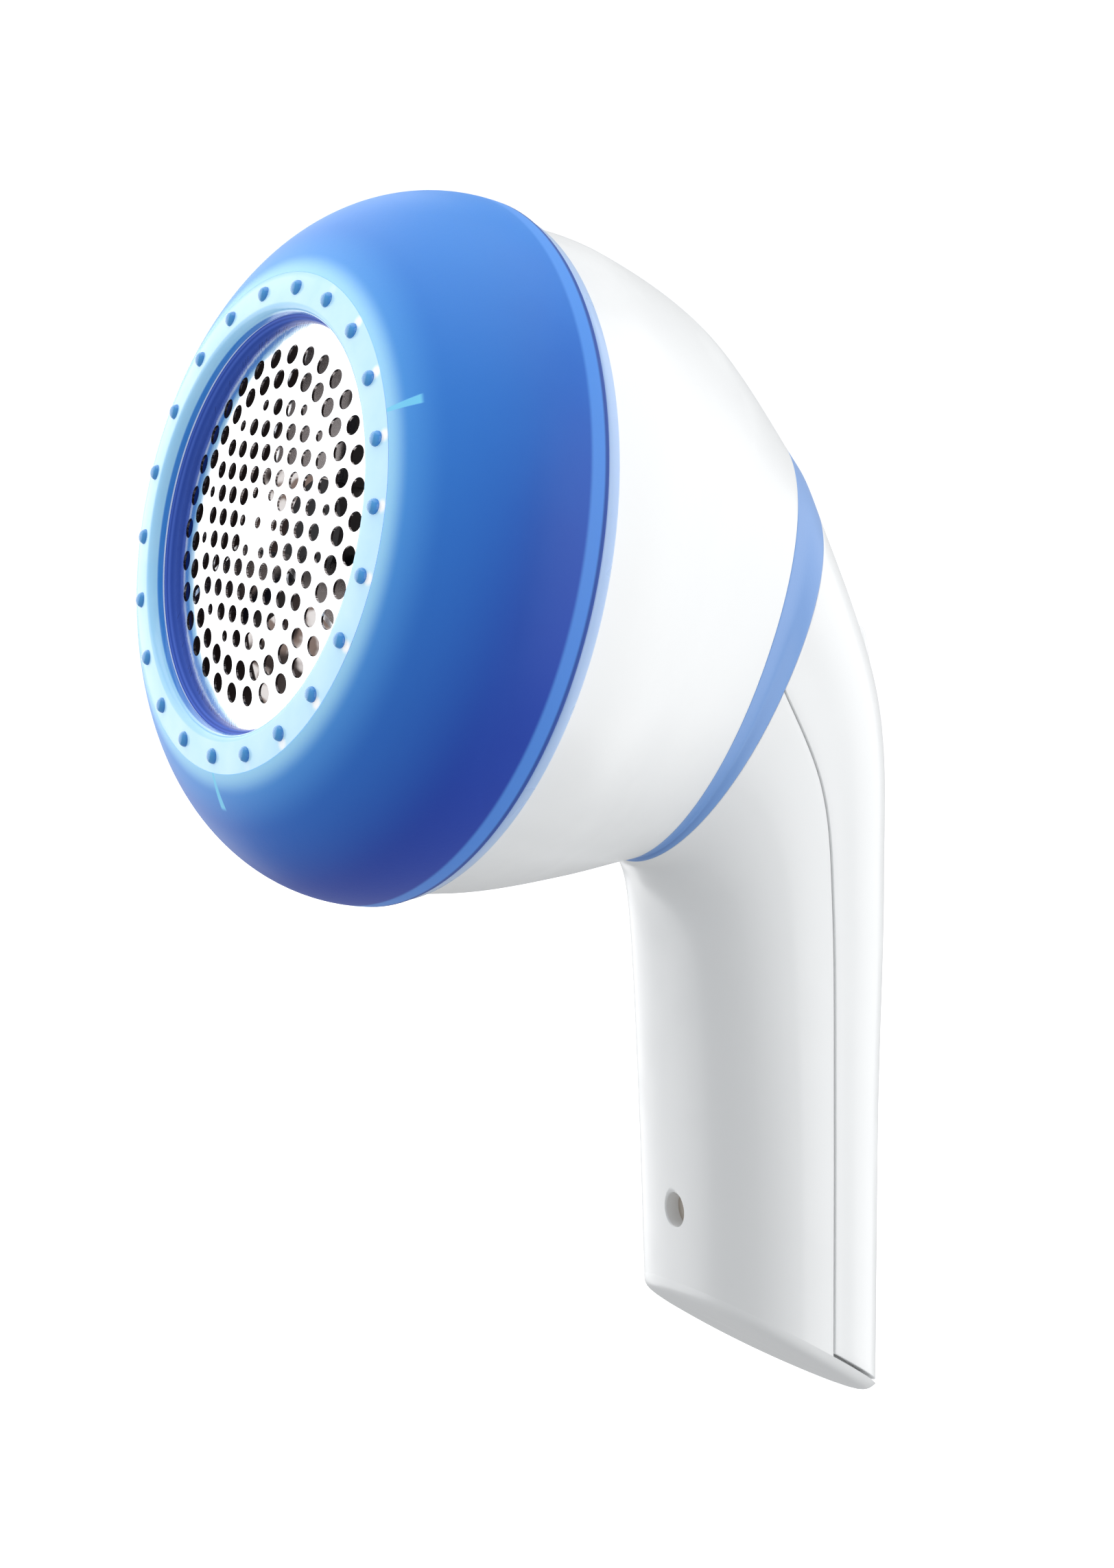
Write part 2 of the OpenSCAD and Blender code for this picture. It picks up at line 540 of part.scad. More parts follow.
module cover_screws() color("silver") for (x = [-boss_x, boss_x])
    in_handle(jack_s, mid_t) translate([x, 5, 0]) rotate([90, 0, 0]) {
        cylinder(r = 1.05, h = 5 + boss_len - 2, $fn = 32);
        translate([0, 0, -1.4]) difference() {
            cylinder(r = 2.1, h = 1.4, $fn = 32);
            for (a = [0, 90]) rotate(a) translate([-1.2, -0.25, -1]) cube([2.4, 0.5, 1.7]);
        }
    }

// ---- Thumb switch ----
module switch_knob() color([0.45, 0.6, 0.82]) on_spine() translate([0, 0, rest_z]) difference() {
    union() {
        hull() {
            translate([-pad_size.x / 2, 0.3 - pocket_depth, -pad_size.y / 2]) cube([pad_size.x, pad_t - 0.8, pad_size.y]);
            translate([-pad_size.x / 2 + 1, 0.3 - pocket_depth, -pad_size.y / 2 + 1])
                cube([pad_size.x - 2, pad_t, pad_size.y - 2]);
        }
        translate([-stem.x / 2, -stem_len, -stem.y / 2]) cube([stem.x, stem_len, stem.y]);
    }
    for (k = [-1:1]) translate([-pad_size.x, pad_t + 0.3 - pocket_depth - 0.5, 2 * k - 0.4])
        cube([2 * pad_size.x, 2, 0.8]);
}
stem_len = 5;
body_top = 3.2;                        // depth of the switch body's open face under the spine
body_deep = 5;
pin_len = 2.2;
module switch_wiper() color("gold") on_spine() translate([0, 0, rest_z])
    translate([-1.5, -stem_len - 0.6, -1.5]) cube([3, 0.6, 3]);
module switch_body() color([0.15, 0.15, 0.17]) on_spine() difference() {
    translate([-4, -body_top - body_deep, -6]) cube([8, body_deep, 12]);
    translate([-2.4, -body_top - body_deep + 1.2, -4.6]) cube([4.8, body_deep, 9.2]);
}
module switch_pins() color("gold") on_spine() for (z = [-3, 0, 3])
    translate([-0.4, -body_top - body_deep - pin_len, z - 0.4]) cube([0.8, pin_len, 0.8]);

// ---- Battery and charging ----
cells_s = -5;                          // top of the cells in the handle frame
cell_x = cell_r + 0.25;
module cell(x) in_handle(cells_s + cell_len, mid_t) translate([x, 0, 0]) {
    difference() {
        cylinder(r = cell_r, h = cell_len - 0.4, $fn = 64);
        translate([0, 0, cell_len - 4]) rotate_extrude($fn = 64) translate([cell_r, 0]) circle(r = 0.5, $fn = 16);
    }
    translate([0, 0, cell_len - 0.4]) cylinder(r = 2.8, h = 0.4, $fn = 32);
}
module battery_cell_1() color("mediumseagreen") cell(-cell_x);
module battery_cell_2() color("mediumseagreen") cell(cell_x);
cradle_len = cell_len - 9;
valley = 5.4;                          // how far from the cells' mid plane the leads run between them
wire_r = 0.6;
module battery_cradle() color("whitesmoke") in_handle(cells_s + cell_len - 5, mid_t) difference() {
    translate([-8.8, -cell_r - 1.5, 0]) cube([17.6, 4.2, cradle_len]);
    for (x = [-cell_x, cell_x]) translate([x, 0, -1]) cylinder(r = cell_r + slip, h = cradle_len + 2, $fn = 64);
    // groove for the front lead
    translate([-wire_r - slip, -valley - wire_r - slip, -1])
        cube([2 * (wire_r + slip), 2 * valley, cradle_len + 2]);
}
module battery_link() color("silver") in_handle(cells_s + cell_len, mid_t)
    translate([-cell_x - 2.5, -2, -0.3]) cube([2 * cell_x + 5, 4, 0.3]);
module battery_tabs() color("silver") in_handle(cells_s, mid_t) for (x = [-cell_x, cell_x])
    translate([x - 2, -2, 0]) cube([4, 5, 0.3]);

jack_out = 3.2;                        // half the height of the jack's body
jack_half_w = 3.6;
board_s = jack_s + jack_out;
module dc_socket() color([0.15, 0.15, 0.17]) in_handle(jack_s, belly_t + wall + 0.6) difference() {
    translate([-jack_half_w, 0, -jack_out]) cube([2 * jack_half_w, jack_depth + 1.5, 2 * jack_out]);
    translate([0, -1, 0]) rotate([-90, 0, 0]) cylinder(r = jack_r, h = jack_depth + 1, $fn = 48);
}
board_t = 1.2;
board_front = belly_t + wall + 1.7;
board_len = mid_t + valley + 1.5 - board_front;
module charge_board() color("seagreen") in_handle(board_s + board_t, board_front)
    translate([-7.2, 0, 0]) cube([14.4, board_len, board_t]);
module board_components() color([0.15, 0.15, 0.17]) in_handle(board_s, board_front) {
    translate([-5.5, 11.4, 0]) cube([3, 2, 1.2]);
    translate([2.2, 11, 0]) cube([3.6, 2.6, 1]);
}

// ---- Leads: each route runs between the named places, with one or two bends ----
tab_at = handle_at(cells_s - 0.3 - wire_r, mid_t + 2);
term_at = [motor_back + terminal_size.y + 0.1, 3 + terminal_size.z / 2];
pin_depth = body_top + body_deep + pin_len + 0.6 * wire_r;
pin_dir = [cos(switch_lean), sin(switch_lean)];
up_dir = [-sin(switch_lean), cos(switch_lean)];
function pin_at(z) = spine_point - pin_depth * pin_dir + z * up_dir;
module lead(points) tube(soften(points), wire_r);
// From a motor terminal to the upper pin of the switch.
module motor_wire() color("gold") lead([
    [terminal_x, term_at.x, term_at.y], [terminal_x, term_at.x + 1.2, term_at.y + 1],
    [2.5, pin_at(3).x - 1, pin_at(3).y + 0.4], [0, pin_at(3).x, pin_at(3).y]]);
// From the switch's middle pin to the positive cell.
module switch_wire() color("red") lead([
    [0, pin_at(0).x, pin_at(0).y], [2.5, pin_at(0).x - 1.2, pin_at(0).y - 1.4],
    [cell_x, tab_at.x - 1, tab_at.y + 2.4], [cell_x, tab_at.x, tab_at.y]]);
// From the negative cell to the other motor terminal.
module battery_wire() color("black") lead([
    [-cell_x, tab_at.x, tab_at.y], [-cell_x, tab_at.x - 1, tab_at.y + 3],
    [-terminal_x, term_at.x + 1.6, term_at.y - 4], [-terminal_x, term_at.x, term_at.y]]);
// From the charging board past the jack and up a valley between the cells.
module charge_wire(t, start_x) {
    function place(x, s) = [x, handle_at(s, t).x, handle_at(s, t).y];
    low = cells_s + cell_len;
    high = cells_s - 1.4;
    tube(concat(soften([place(start_x, board_s), place(start_x, jack_s - jack_out + 0.6),
        place(start_x / 2, low + 1.7), place(0, low)]),
        [for (i = [1:6]) place(0, low + (high - low) * i / 6)]), wire_r);
}
module charge_wire_front() color("red") charge_wire(mid_t - valley, jack_half_w + 1.4);
module charge_wire_back() color("black") charge_wire(mid_t + valley, 0);

guard_cap();
face_ring();
collar_ring();
foil();
foil_ring();
lint_chamber();
shaft_seal();
motor_bulkhead();
motor_can();
motor_magnets();
motor_end_cap();
motor_bushes();
motor_terminals();
motor_screws();
motor_shaft();
armature();
commutator();
drive_sleeve();
blade_spring();
blade_hub();
cutter_blade_1();
cutter_blade_2();
cutter_blade_3();
head_housing();
accent_band();
handle_shell();
rear_cover();
end_cap();
cover_screws();
switch_knob();
switch_wiper();
switch_body();
switch_pins();
battery_cell_1();
battery_cell_2();
battery_cradle();
battery_link();
battery_tabs();
charge_board();
board_components();
dc_socket();
motor_wire();
switch_wire();
battery_wire();
charge_wire_front();
charge_wire_back();
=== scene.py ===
# %% [markdown]
# # A fabric shaver
# A fabric shaver cuts the small balls of fibre off a jumper. A blue guard with small nubs rests on
# the cloth, the fibre balls poke through a thin perforated foil, and three blades spin behind it.
# This lesson builds its look in Blender around a CAD model that already fixes every size. The CAD
# model is the frame: our pieces stand exactly where its parts are, and ride on its moving bodies.

# %% Load the CAD frame
import json
import math

import bmesh
import bpy
from mathutils import Matrix, Vector

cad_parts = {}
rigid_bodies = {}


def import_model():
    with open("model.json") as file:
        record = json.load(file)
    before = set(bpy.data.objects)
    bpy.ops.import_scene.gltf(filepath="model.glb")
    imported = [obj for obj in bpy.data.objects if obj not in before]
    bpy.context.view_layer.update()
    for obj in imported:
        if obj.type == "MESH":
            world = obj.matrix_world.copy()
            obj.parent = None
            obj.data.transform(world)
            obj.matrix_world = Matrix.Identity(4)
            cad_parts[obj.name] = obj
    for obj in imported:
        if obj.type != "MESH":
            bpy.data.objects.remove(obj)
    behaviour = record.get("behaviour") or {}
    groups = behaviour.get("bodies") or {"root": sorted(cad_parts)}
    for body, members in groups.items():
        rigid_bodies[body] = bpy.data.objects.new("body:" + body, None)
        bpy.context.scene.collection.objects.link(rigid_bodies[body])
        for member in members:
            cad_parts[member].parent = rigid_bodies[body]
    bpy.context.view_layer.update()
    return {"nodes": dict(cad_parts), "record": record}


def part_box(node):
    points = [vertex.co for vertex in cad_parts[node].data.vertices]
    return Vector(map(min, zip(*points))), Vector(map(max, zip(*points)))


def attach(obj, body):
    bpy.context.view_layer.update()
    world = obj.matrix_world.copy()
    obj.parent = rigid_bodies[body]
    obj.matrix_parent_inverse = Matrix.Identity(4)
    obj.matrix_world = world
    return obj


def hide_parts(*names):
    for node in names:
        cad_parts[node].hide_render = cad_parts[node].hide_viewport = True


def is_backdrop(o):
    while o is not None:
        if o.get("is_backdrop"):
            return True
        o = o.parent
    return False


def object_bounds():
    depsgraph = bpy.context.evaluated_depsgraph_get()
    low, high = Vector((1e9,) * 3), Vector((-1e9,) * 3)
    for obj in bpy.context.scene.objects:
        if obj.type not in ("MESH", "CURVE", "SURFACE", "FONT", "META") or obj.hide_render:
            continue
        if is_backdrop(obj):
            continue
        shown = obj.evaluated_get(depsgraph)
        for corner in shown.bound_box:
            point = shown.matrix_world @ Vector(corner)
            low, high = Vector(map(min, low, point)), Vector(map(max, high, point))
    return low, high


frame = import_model()
MM = 0.001

# %% [markdown]
# ## Writing node trees as formulas
# Shaders and Geometry Nodes are both made of nodes with sockets. Placing dozens of them by hand hides
# the idea behind them, so a link gets the usual operators: link * 2 + 1 adds two Math nodes. Every
# other node comes from one method, which sets its options first and its sockets after that.

# %% Links with operators, and one method for nodes
class Link:
    """The output of a node, which formulas can be written with."""

    def __init__(self, wiring, socket):
        self.wiring = wiring
        self.socket = socket

    def __add__(self, other):
        return self.wiring.maths("ADD", self, other)

    def __sub__(self, other):
        return self.wiring.maths("SUBTRACT", self, other)

    def __mul__(self, other):
        return self.wiring.maths("MULTIPLY", self, other)

    def __truediv__(self, other):
        return self.wiring.maths("DIVIDE", self, other)

    def __pow__(self, other):
        return self.wiring.maths("POWER", self, other)

    def __lt__(self, other):
        return self.wiring.maths("LESS_THAN", self, other)

    def __gt__(self, other):
        return self.wiring.maths("GREATER_THAN", self, other)

    def __rsub__(self, other):
        return self.wiring.maths("SUBTRACT", other, self)

    def __rtruediv__(self, other):
        return self.wiring.maths("DIVIDE", other, self)

    __radd__ = __add__
    __rmul__ = __mul__


class Wiring:
    """A node tree that is built by plain calls."""

    def __init__(self, tree):
        self.tree = tree

    def add(self, kind, settings=None, inputs=None, out=0):
        node = self.tree.nodes.new(kind)
        for name, value in (settings or {}).items():
            setattr(node, name, value)
        for name, value in (inputs or {}).items():
            for one in value if isinstance(value, list) else [value]:
                if isinstance(one, Link):
                    self.tree.links.new(one.socket, node.inputs[name])
                else:
                    node.inputs[name].default_value = one
        return Link(self, node.outputs[out])

    def maths(self, how, a, b=0.0):
        return self.add("ShaderNodeMath", {"operation": how}, {0: a, 1: b})

    def cross(self, x, y, z):
        """A vector from three values."""
        return self.add("ShaderNodeCombineXYZ", None, {0: x, 1: y, 2: z})

    def parts(self, vector):
        """The three values of a vector."""
        first = self.add("ShaderNodeSeparateXYZ", None, {0: vector})
        node = first.socket.node
        return [Link(self, node.outputs[k]) for k in range(3)]


# %% [markdown]
# ## Finishes
# Every finish starts from a point's own place on the object, so that the pattern stays on the
# surface wherever the camera stands. Colours are mixed with Mix nodes. Only colour, glow colour,
# roughness, coat weight and bump change over a surface, and the rest is one constant per finish.

# %% A finish is a wiring with a shader at its end
class Finish(Wiring):
    """A material, with the patterns that moulded and turned parts need."""

    def __init__(self, name):
        self.material = bpy.data.materials.new(name)
        self.material.use_nodes = True
        self.material.node_tree.nodes.clear()
        super().__init__(self.material.node_tree)
        self.place = self.add("ShaderNodeTexCoord", None, None, "Object")

    def around(self):
        """The place's x, y and z, and r, its distance from the head axis."""
        x, y, z = self.parts(self.place)
        return x, y, z, (x * x + z * z) ** 0.5

    def grain(self, size, detail=3.0, rough=0.55, stretch=None):
        """Cloudy noise whose patches are about size metres across."""
        where = self.place
        if stretch:
            where = self.add("ShaderNodeVectorMath", {"operation": "MULTIPLY"}, {0: where, 1: stretch})
        return self.add("ShaderNodeTexNoise", None,
                        {"Vector": where, "Scale": 1 / size, "Detail": detail, "Roughness": rough})

    def blend(self, share, first, second):
        """From the first colour to the second as share goes from 0 to 1."""
        return self.add("ShaderNodeMix", {"data_type": "RGBA"},
                        {0: share, 6: colour(first), 7: colour(second)}, 2)

    def slope(self, value, low, high, start=0.0, end=1.0):
        """Start below low, end above high, and a soft step between."""
        return self.add("ShaderNodeMapRange", {"interpolation_type": "SMOOTHSTEP"},
                        {"Value": value, "From Min": low, "From Max": high,
                         "To Min": start, "To Max": end})

    def bump(self, height, depth):
        """Small relief, depth metres deep where height is 1."""
        return self.add("ShaderNodeBump", None, {"Height": height, "Distance": depth, "Strength": 1.0})

    def done(self, **sockets):
        names = {key.replace("_", " ").title().replace("Ior", "IOR"): value
                 for key, value in sockets.items()}
        for key in ("Base Color", "Emission Color"):
            if key in names:
                names[key] = colour(names[key])
        shader = self.add("ShaderNodeBsdfPrincipled", None, names)
        end = self.tree.nodes.new("ShaderNodeOutputMaterial")
        self.tree.links.new(shader.socket, end.inputs["Surface"])
        return self.material


def colour(value):
    """A colour with its alpha, or the link as it is."""
    return value if isinstance(value, Link) else (*value[:3], 1.0)


# %% [markdown]
# White ABS comes out of a polished mould, so it is glossy with a very faint orange peel. Handling
# leaves patches that are a little duller, which a large soft noise in the roughness gives.

# %% Glossy white shell plastic
def white_shell():
    f = Finish("white_shell")
    cloud = f.grain(0.02)
    peel = f.grain(0.0016, 2.0)
    smudge = f.slope(f.grain(0.011, 4.0), 0.45, 0.75)
    return f.done(base_color=f.blend(cloud, (0.86, 0.87, 0.875), (0.89, 0.9, 0.9)),
                  roughness=0.3 + smudge * 0.08,
                  coat_weight=0.35 - smudge * 0.15, coat_roughness=0.16, coat_ior=1.45,
                  specular_ior_level=0.5,
                  normal=f.bump(peel, 0.000012))


# %% [markdown]
# The accent band is a satin, slightly purple blue. It is moulded with a fine spark texture, which is
# a small dense noise in the bump.

# %% Satin blue of the band
def band_satin():
    f = Finish("band_satin")
    cloud = f.grain(0.014)
    spark = f.grain(0.00035, 2.0)
    return f.done(base_color=f.blend(cloud, (0.17, 0.33, 0.68), (0.21, 0.38, 0.73)),
                  roughness=0.34 + cloud * 0.08,
                  coat_weight=0.15, coat_roughness=0.25,
                  normal=f.bump(spark, 0.00001))


# %% [markdown]
# The guard is frosted translucent polycarbonate: light enters the wall, turns blue and leaves again
# elsewhere. Real transmission is slow and noisy in a wall this thin, so a little subsurface and a
# faint glow of the same colour stand in for it; the glow is painted light. Light and shade are also
# painted into the colour: it is paler where the wall curls round to the front and on the upper left,
# where the light falls, deepest low on the side, paler blue behind the widest circle, and painted dark
# as shade in the groove at the rear edge. Three pale streaks at a third of a turn from each other show
# where the ring's marks are.

# %% Frosted blue of the guard
def guard_frost():
    f = Finish("guard_frost")
    x, y, z, r = f.around()
    cloud = f.grain(0.018)
    frost = f.grain(0.0005, 2.0)
    # painted light and shade: lighter on the upper left, darker on the lower right
    high = f.slope(z * 0.8 - x * 0.45 + cloud * 0.01, -0.04, 0.045)
    mid = f.slope(y + cloud * 0.002, 0.003, 0.014)
    body = f.blend(high, (0.006, 0.04, 0.33), (0.04, 0.23, 0.66))
    # painted light paler towards the front, and painted shade deepest low on the side towards the back
    body = f.blend((1.0 - mid) * 0.5, body, (0.03, 0.22, 0.7))
    body = f.blend(f.slope(y, 0.0085, 0.018) * (1.0 - high) * 0.6, body, (0.014, 0.045, 0.34))
    # painted light: palest at the very front edge
    body = f.blend(f.slope(y, 0.0, 0.0042, 0.5, 0.0), body, (0.12, 0.44, 0.92))
    body = f.blend(f.slope(y, 0.0, 0.0013, 0.8, 0.0), body, (0.4, 0.76, 1.0))
    # paler blue behind the widest circle, then painted shade in the groove at the rear edge
    body = f.blend(f.slope(y, 0.018, 0.0186) * 0.7, body, (0.09, 0.28, 0.72))
    body = f.blend(f.slope(y, 0.0199, 0.0203) * 0.85, body, (0.006, 0.03, 0.22))
    third = f.maths("ARCTAN2", z, x) * 3.0 - math.radians(90)
    across = f.maths("ABSOLUTE", f.maths("SINE", third)) * r / 3.0
    half = 0.0002 + (r - 0.0285) * 0.1
    streak = f.slope(across / half, 0.75, 1.05, 1.0, 0.0) * (f.maths("COSINE", third) > 0.0)
    streak = streak * f.slope(r, 0.0285, 0.0292) * f.slope(r, 0.0326, 0.0331, 1.0, 0.0)
    body = f.blend(streak * 0.85, body, (0.2, 0.66, 0.93))
    # the glow repeats the painted colour, so it is painted light
    return f.done(base_color=body,
                  roughness=0.42 + cloud * 0.1, specular_ior_level=0.3,
                  subsurface_weight=0.15, subsurface_radius=(0.4, 0.9, 2.2), subsurface_scale=0.001,
                  emission_color=body, emission_strength=0.22,
                  coat_weight=0.06, coat_roughness=0.3,
                  normal=f.bump(frost, 0.000012))


# %% [markdown]
# The middle ring of the guard is clearer and thinner, so it looks almost white-cyan, and its edges
# gather the blue; on the outer edge that blue is painted shade, on the left side only. A small bright
# spot beside each nub, on the right side only, is a painted highlight, standing for light that the
# nub gathers, and the ring's faint glow is painted light. The nubs are deeper blue with paler tips,
# and the collar behind the guard is pale only at its rim; in front of it, where the guard shades it,
# the collar is painted a deeper blue.

# %% Clear ring, nubs and collar
NUB_COUNT = 22
HIGHLIGHT_CIRCLE_R = 0.0283


def ring_clear():
    f = Finish("ring_clear")
    x, y, z, r = f.around()
    cloud = f.grain(0.006)
    inner = f.slope(r, 0.02515, 0.0254, 1.0, 0.0)
    # outer edge painted bluer on the left side only: painted shade
    outer = f.slope(r, 0.0282, 0.0289) * f.slope(x - z * 0.3, -0.018, 0.004, 1.0, 0.0)
    pale = f.blend(cloud, (0.4, 0.72, 0.96), (0.6, 0.86, 1.0))
    # a painted highlight beside each nub, on the right side only
    turn = (f.maths("ARCTAN2", z, x) - math.radians(90)) * (NUB_COUNT / 2)
    across = f.maths("ABSOLUTE", f.maths("SINE", turn)) * r / (NUB_COUNT / 2)
    away = (across * across + (r - HIGHLIGHT_CIRCLE_R) * (r - HIGHLIGHT_CIRCLE_R)) ** 0.5
    painted_highlight = f.slope(away, 0.0003, 0.001, 1.0, 0.0) * f.slope(x, 0.004, 0.02)
    pale = f.blend(painted_highlight, pale, (1.0, 1.0, 1.0))
    pale = f.blend(inner * 0.45 + outer * 0.6, pale, (0.16, 0.52, 0.9))
    wall = f.slope(y, 0.0002, 0.0004)
    pale = f.blend(wall * 0.95, pale, (0.02, 0.2, 0.66))
    pale = f.blend(f.slope(y, 0.0009, 0.001), pale, (0.75, 0.88, 1.0))
    # the glow repeats the colour: painted light
    return f.done(base_color=pale, roughness=0.16 + cloud * 0.08, specular_ior_level=0.4,
                  emission_color=pale, emission_strength=0.25,
                  coat_weight=0.3, coat_roughness=0.05,
                  normal=f.bump(cloud, 0.00004))


def nub_blue():
    f = Finish("nub_blue")
    y = f.parts(f.place)[1]
    tip = f.slope(y, -0.001, -0.0002, 1.0, 0.0)
    cloud = f.grain(0.003)
    return f.done(base_color=f.blend(tip * 0.7 + cloud * 0.2, (0.025, 0.22, 0.68), (0.1, 0.44, 0.88)),
                  roughness=0.16 + cloud * 0.05, specular_ior_level=0.4,
                  coat_weight=0.5, coat_roughness=0.06,
                  normal=f.bump(cloud, 0.00002))


def collar_pale():
    f = Finish("collar_pale")
    y = f.parts(f.place)[1]
    cloud = f.grain(0.01)
    # painted shade: the collar is deeper blue in front of its rim, where the guard shades it
    rim = f.slope(y, 0.0206, 0.0212)
    return f.done(base_color=f.blend(rim, (0.1, 0.22, 0.56), (0.42, 0.58, 0.86)),
                  roughness=0.24 + cloud * 0.08, subsurface_weight=0.2,
                  subsurface_radius=(0.5, 0.8, 1.4), subsurface_scale=0.001,
                  coat_weight=0.3, coat_roughness=0.15,
                  normal=f.bump(cloud, 0.00003))


# %% [markdown]
# ## Metals
# A metal's look is its roughness: a stretched noise reads as brushing, and a fine even one as
# plating. The foil is polished, with faint long scratches from use.

# %% Metals
def metal(name, first, second, rough, grain_size, stretch=None, depth=0.000004):
    f = Finish(name)
    lines = f.grain(grain_size, 3.0, 0.6, stretch)
    stain = f.slope(f.grain(0.006, 4.0), 0.4, 0.75)
    return f.done(base_color=f.blend(stain, first, second), metallic=1.0,
                  roughness=rough + lines * 0.12 + stain * 0.05,
                  normal=f.bump(lines, depth))


# %% [markdown]
# Plain plastics, felt, magnets and wire sleeves share one recipe: two close colours, a roughness
# that wanders, and a fine bump whose size and depth suit the material.

# %% Plain finishes
def plain(name, first, second, rough, grain_size, depth, **more):
    f = Finish(name)
    patch = f.grain(0.005, 3.0)
    fine = f.grain(grain_size, 3.0)
    return f.done(base_color=f.blend(patch, first, second), roughness=rough + patch * 0.12,
                  normal=f.bump(fine, depth), **more)


def board_mask():
    """Solder mask with paler copper tracks under it."""
    f = Finish("board_mask")
    x, y, z = f.parts(f.place)
    tracks = f.add("ShaderNodeTexBrick", {"offset": 0.5},
                   {"Vector": f.cross(x, y, 0.0), "Scale": 260.0, "Mortar Size": 0.06,
                    "Color1": (0, 0, 0, 1), "Color2": (0, 0, 0, 1), "Mortar": (1, 1, 1, 1)}, "Fac")
    fine = f.grain(0.0008)
    return f.done(base_color=f.blend(tracks, (0.008, 0.09, 0.035), (0.02, 0.2, 0.07)),
                  roughness=0.3 + fine * 0.15, coat_weight=0.4, coat_roughness=0.1,
                  normal=f.bump(tracks, 0.00003))


def ring_deep():
    """Deep blue of the ring that holds the foil, in fine turned bands, painted near black deep inside as
    shade, and with a faint glow that is painted light.
    """
    f = Finish("ring_deep")
    x, y, z, r = f.around()
    cloud = f.grain(0.004)
    lines = f.add("ShaderNodeTexWave", {"wave_type": "RINGS", "rings_direction": "Y"},
                  {"Vector": f.place, "Scale": 900.0, "Distortion": 0.0}, 1)
    pale = f.blend(lines * 0.6, (0.08, 0.16, 0.62), (0.01, 0.045, 0.32))
    tint = f.blend(f.slope(r, 0.0247, 0.0248), pale, (0.012, 0.055, 0.38))
    # painted shade: near black deep inside the ring, behind the foil
    painted_shade_inside = f.slope(y, 0.0028, 0.0034) * f.slope(r, 0.0258, 0.026, 1.0, 0.0)
    tint = f.blend(painted_shade_inside, tint, (0.02, 0.014, 0.014))
    # the faint glow repeats the colour: painted light
    return f.done(base_color=tint, roughness=0.2 + cloud * 0.06, ior=1.14,
                  emission_color=tint, emission_strength=0.15,
                  normal=f.bump(cloud, 0.00003))


def lint_wall():
    """Smoke-tinted cup whose inside is painted with dark and paler patches and bright glints, painted light
    and shade, and a painted glow.
    """
    f = Finish("lint_wall")
    x, y, z, r = f.around()
    middle = f.slope(y, 0.0125, 0.0157, 0.0284, 0.03225)
    inside = f.slope(r - middle, -0.0001, 0.0001, 1.0, 0.0)
    patch = f.slope(f.grain(0.006, 2.0), 0.42, 0.52)
    bright = f.slope(f.grain(0.0035, 2.0, 0.5), 0.44, 0.56)
    # painted light and shade inside the cup: dark and paler patches with bright painted glints
    painted_light = f.blend(patch, (0.02, 0.013, 0.012), (0.2, 0.15, 0.13))
    painted_light = f.blend(bright * patch, painted_light, (0.75, 0.73, 0.72))
    smoke = f.blend(f.grain(0.01), (0.2, 0.23, 0.27), (0.26, 0.29, 0.33))
    # the glow inside is painted light
    return f.done(base_color=f.blend(inside, smoke, painted_light), roughness=0.22 + patch * inside * 0.35,
                  emission_color=f.blend(inside, (0.0, 0.0, 0.0), painted_light), emission_strength=0.8,
                  coat_weight=0.4, coat_roughness=0.08,
                  normal=f.bump(patch * inside, 0.0001))


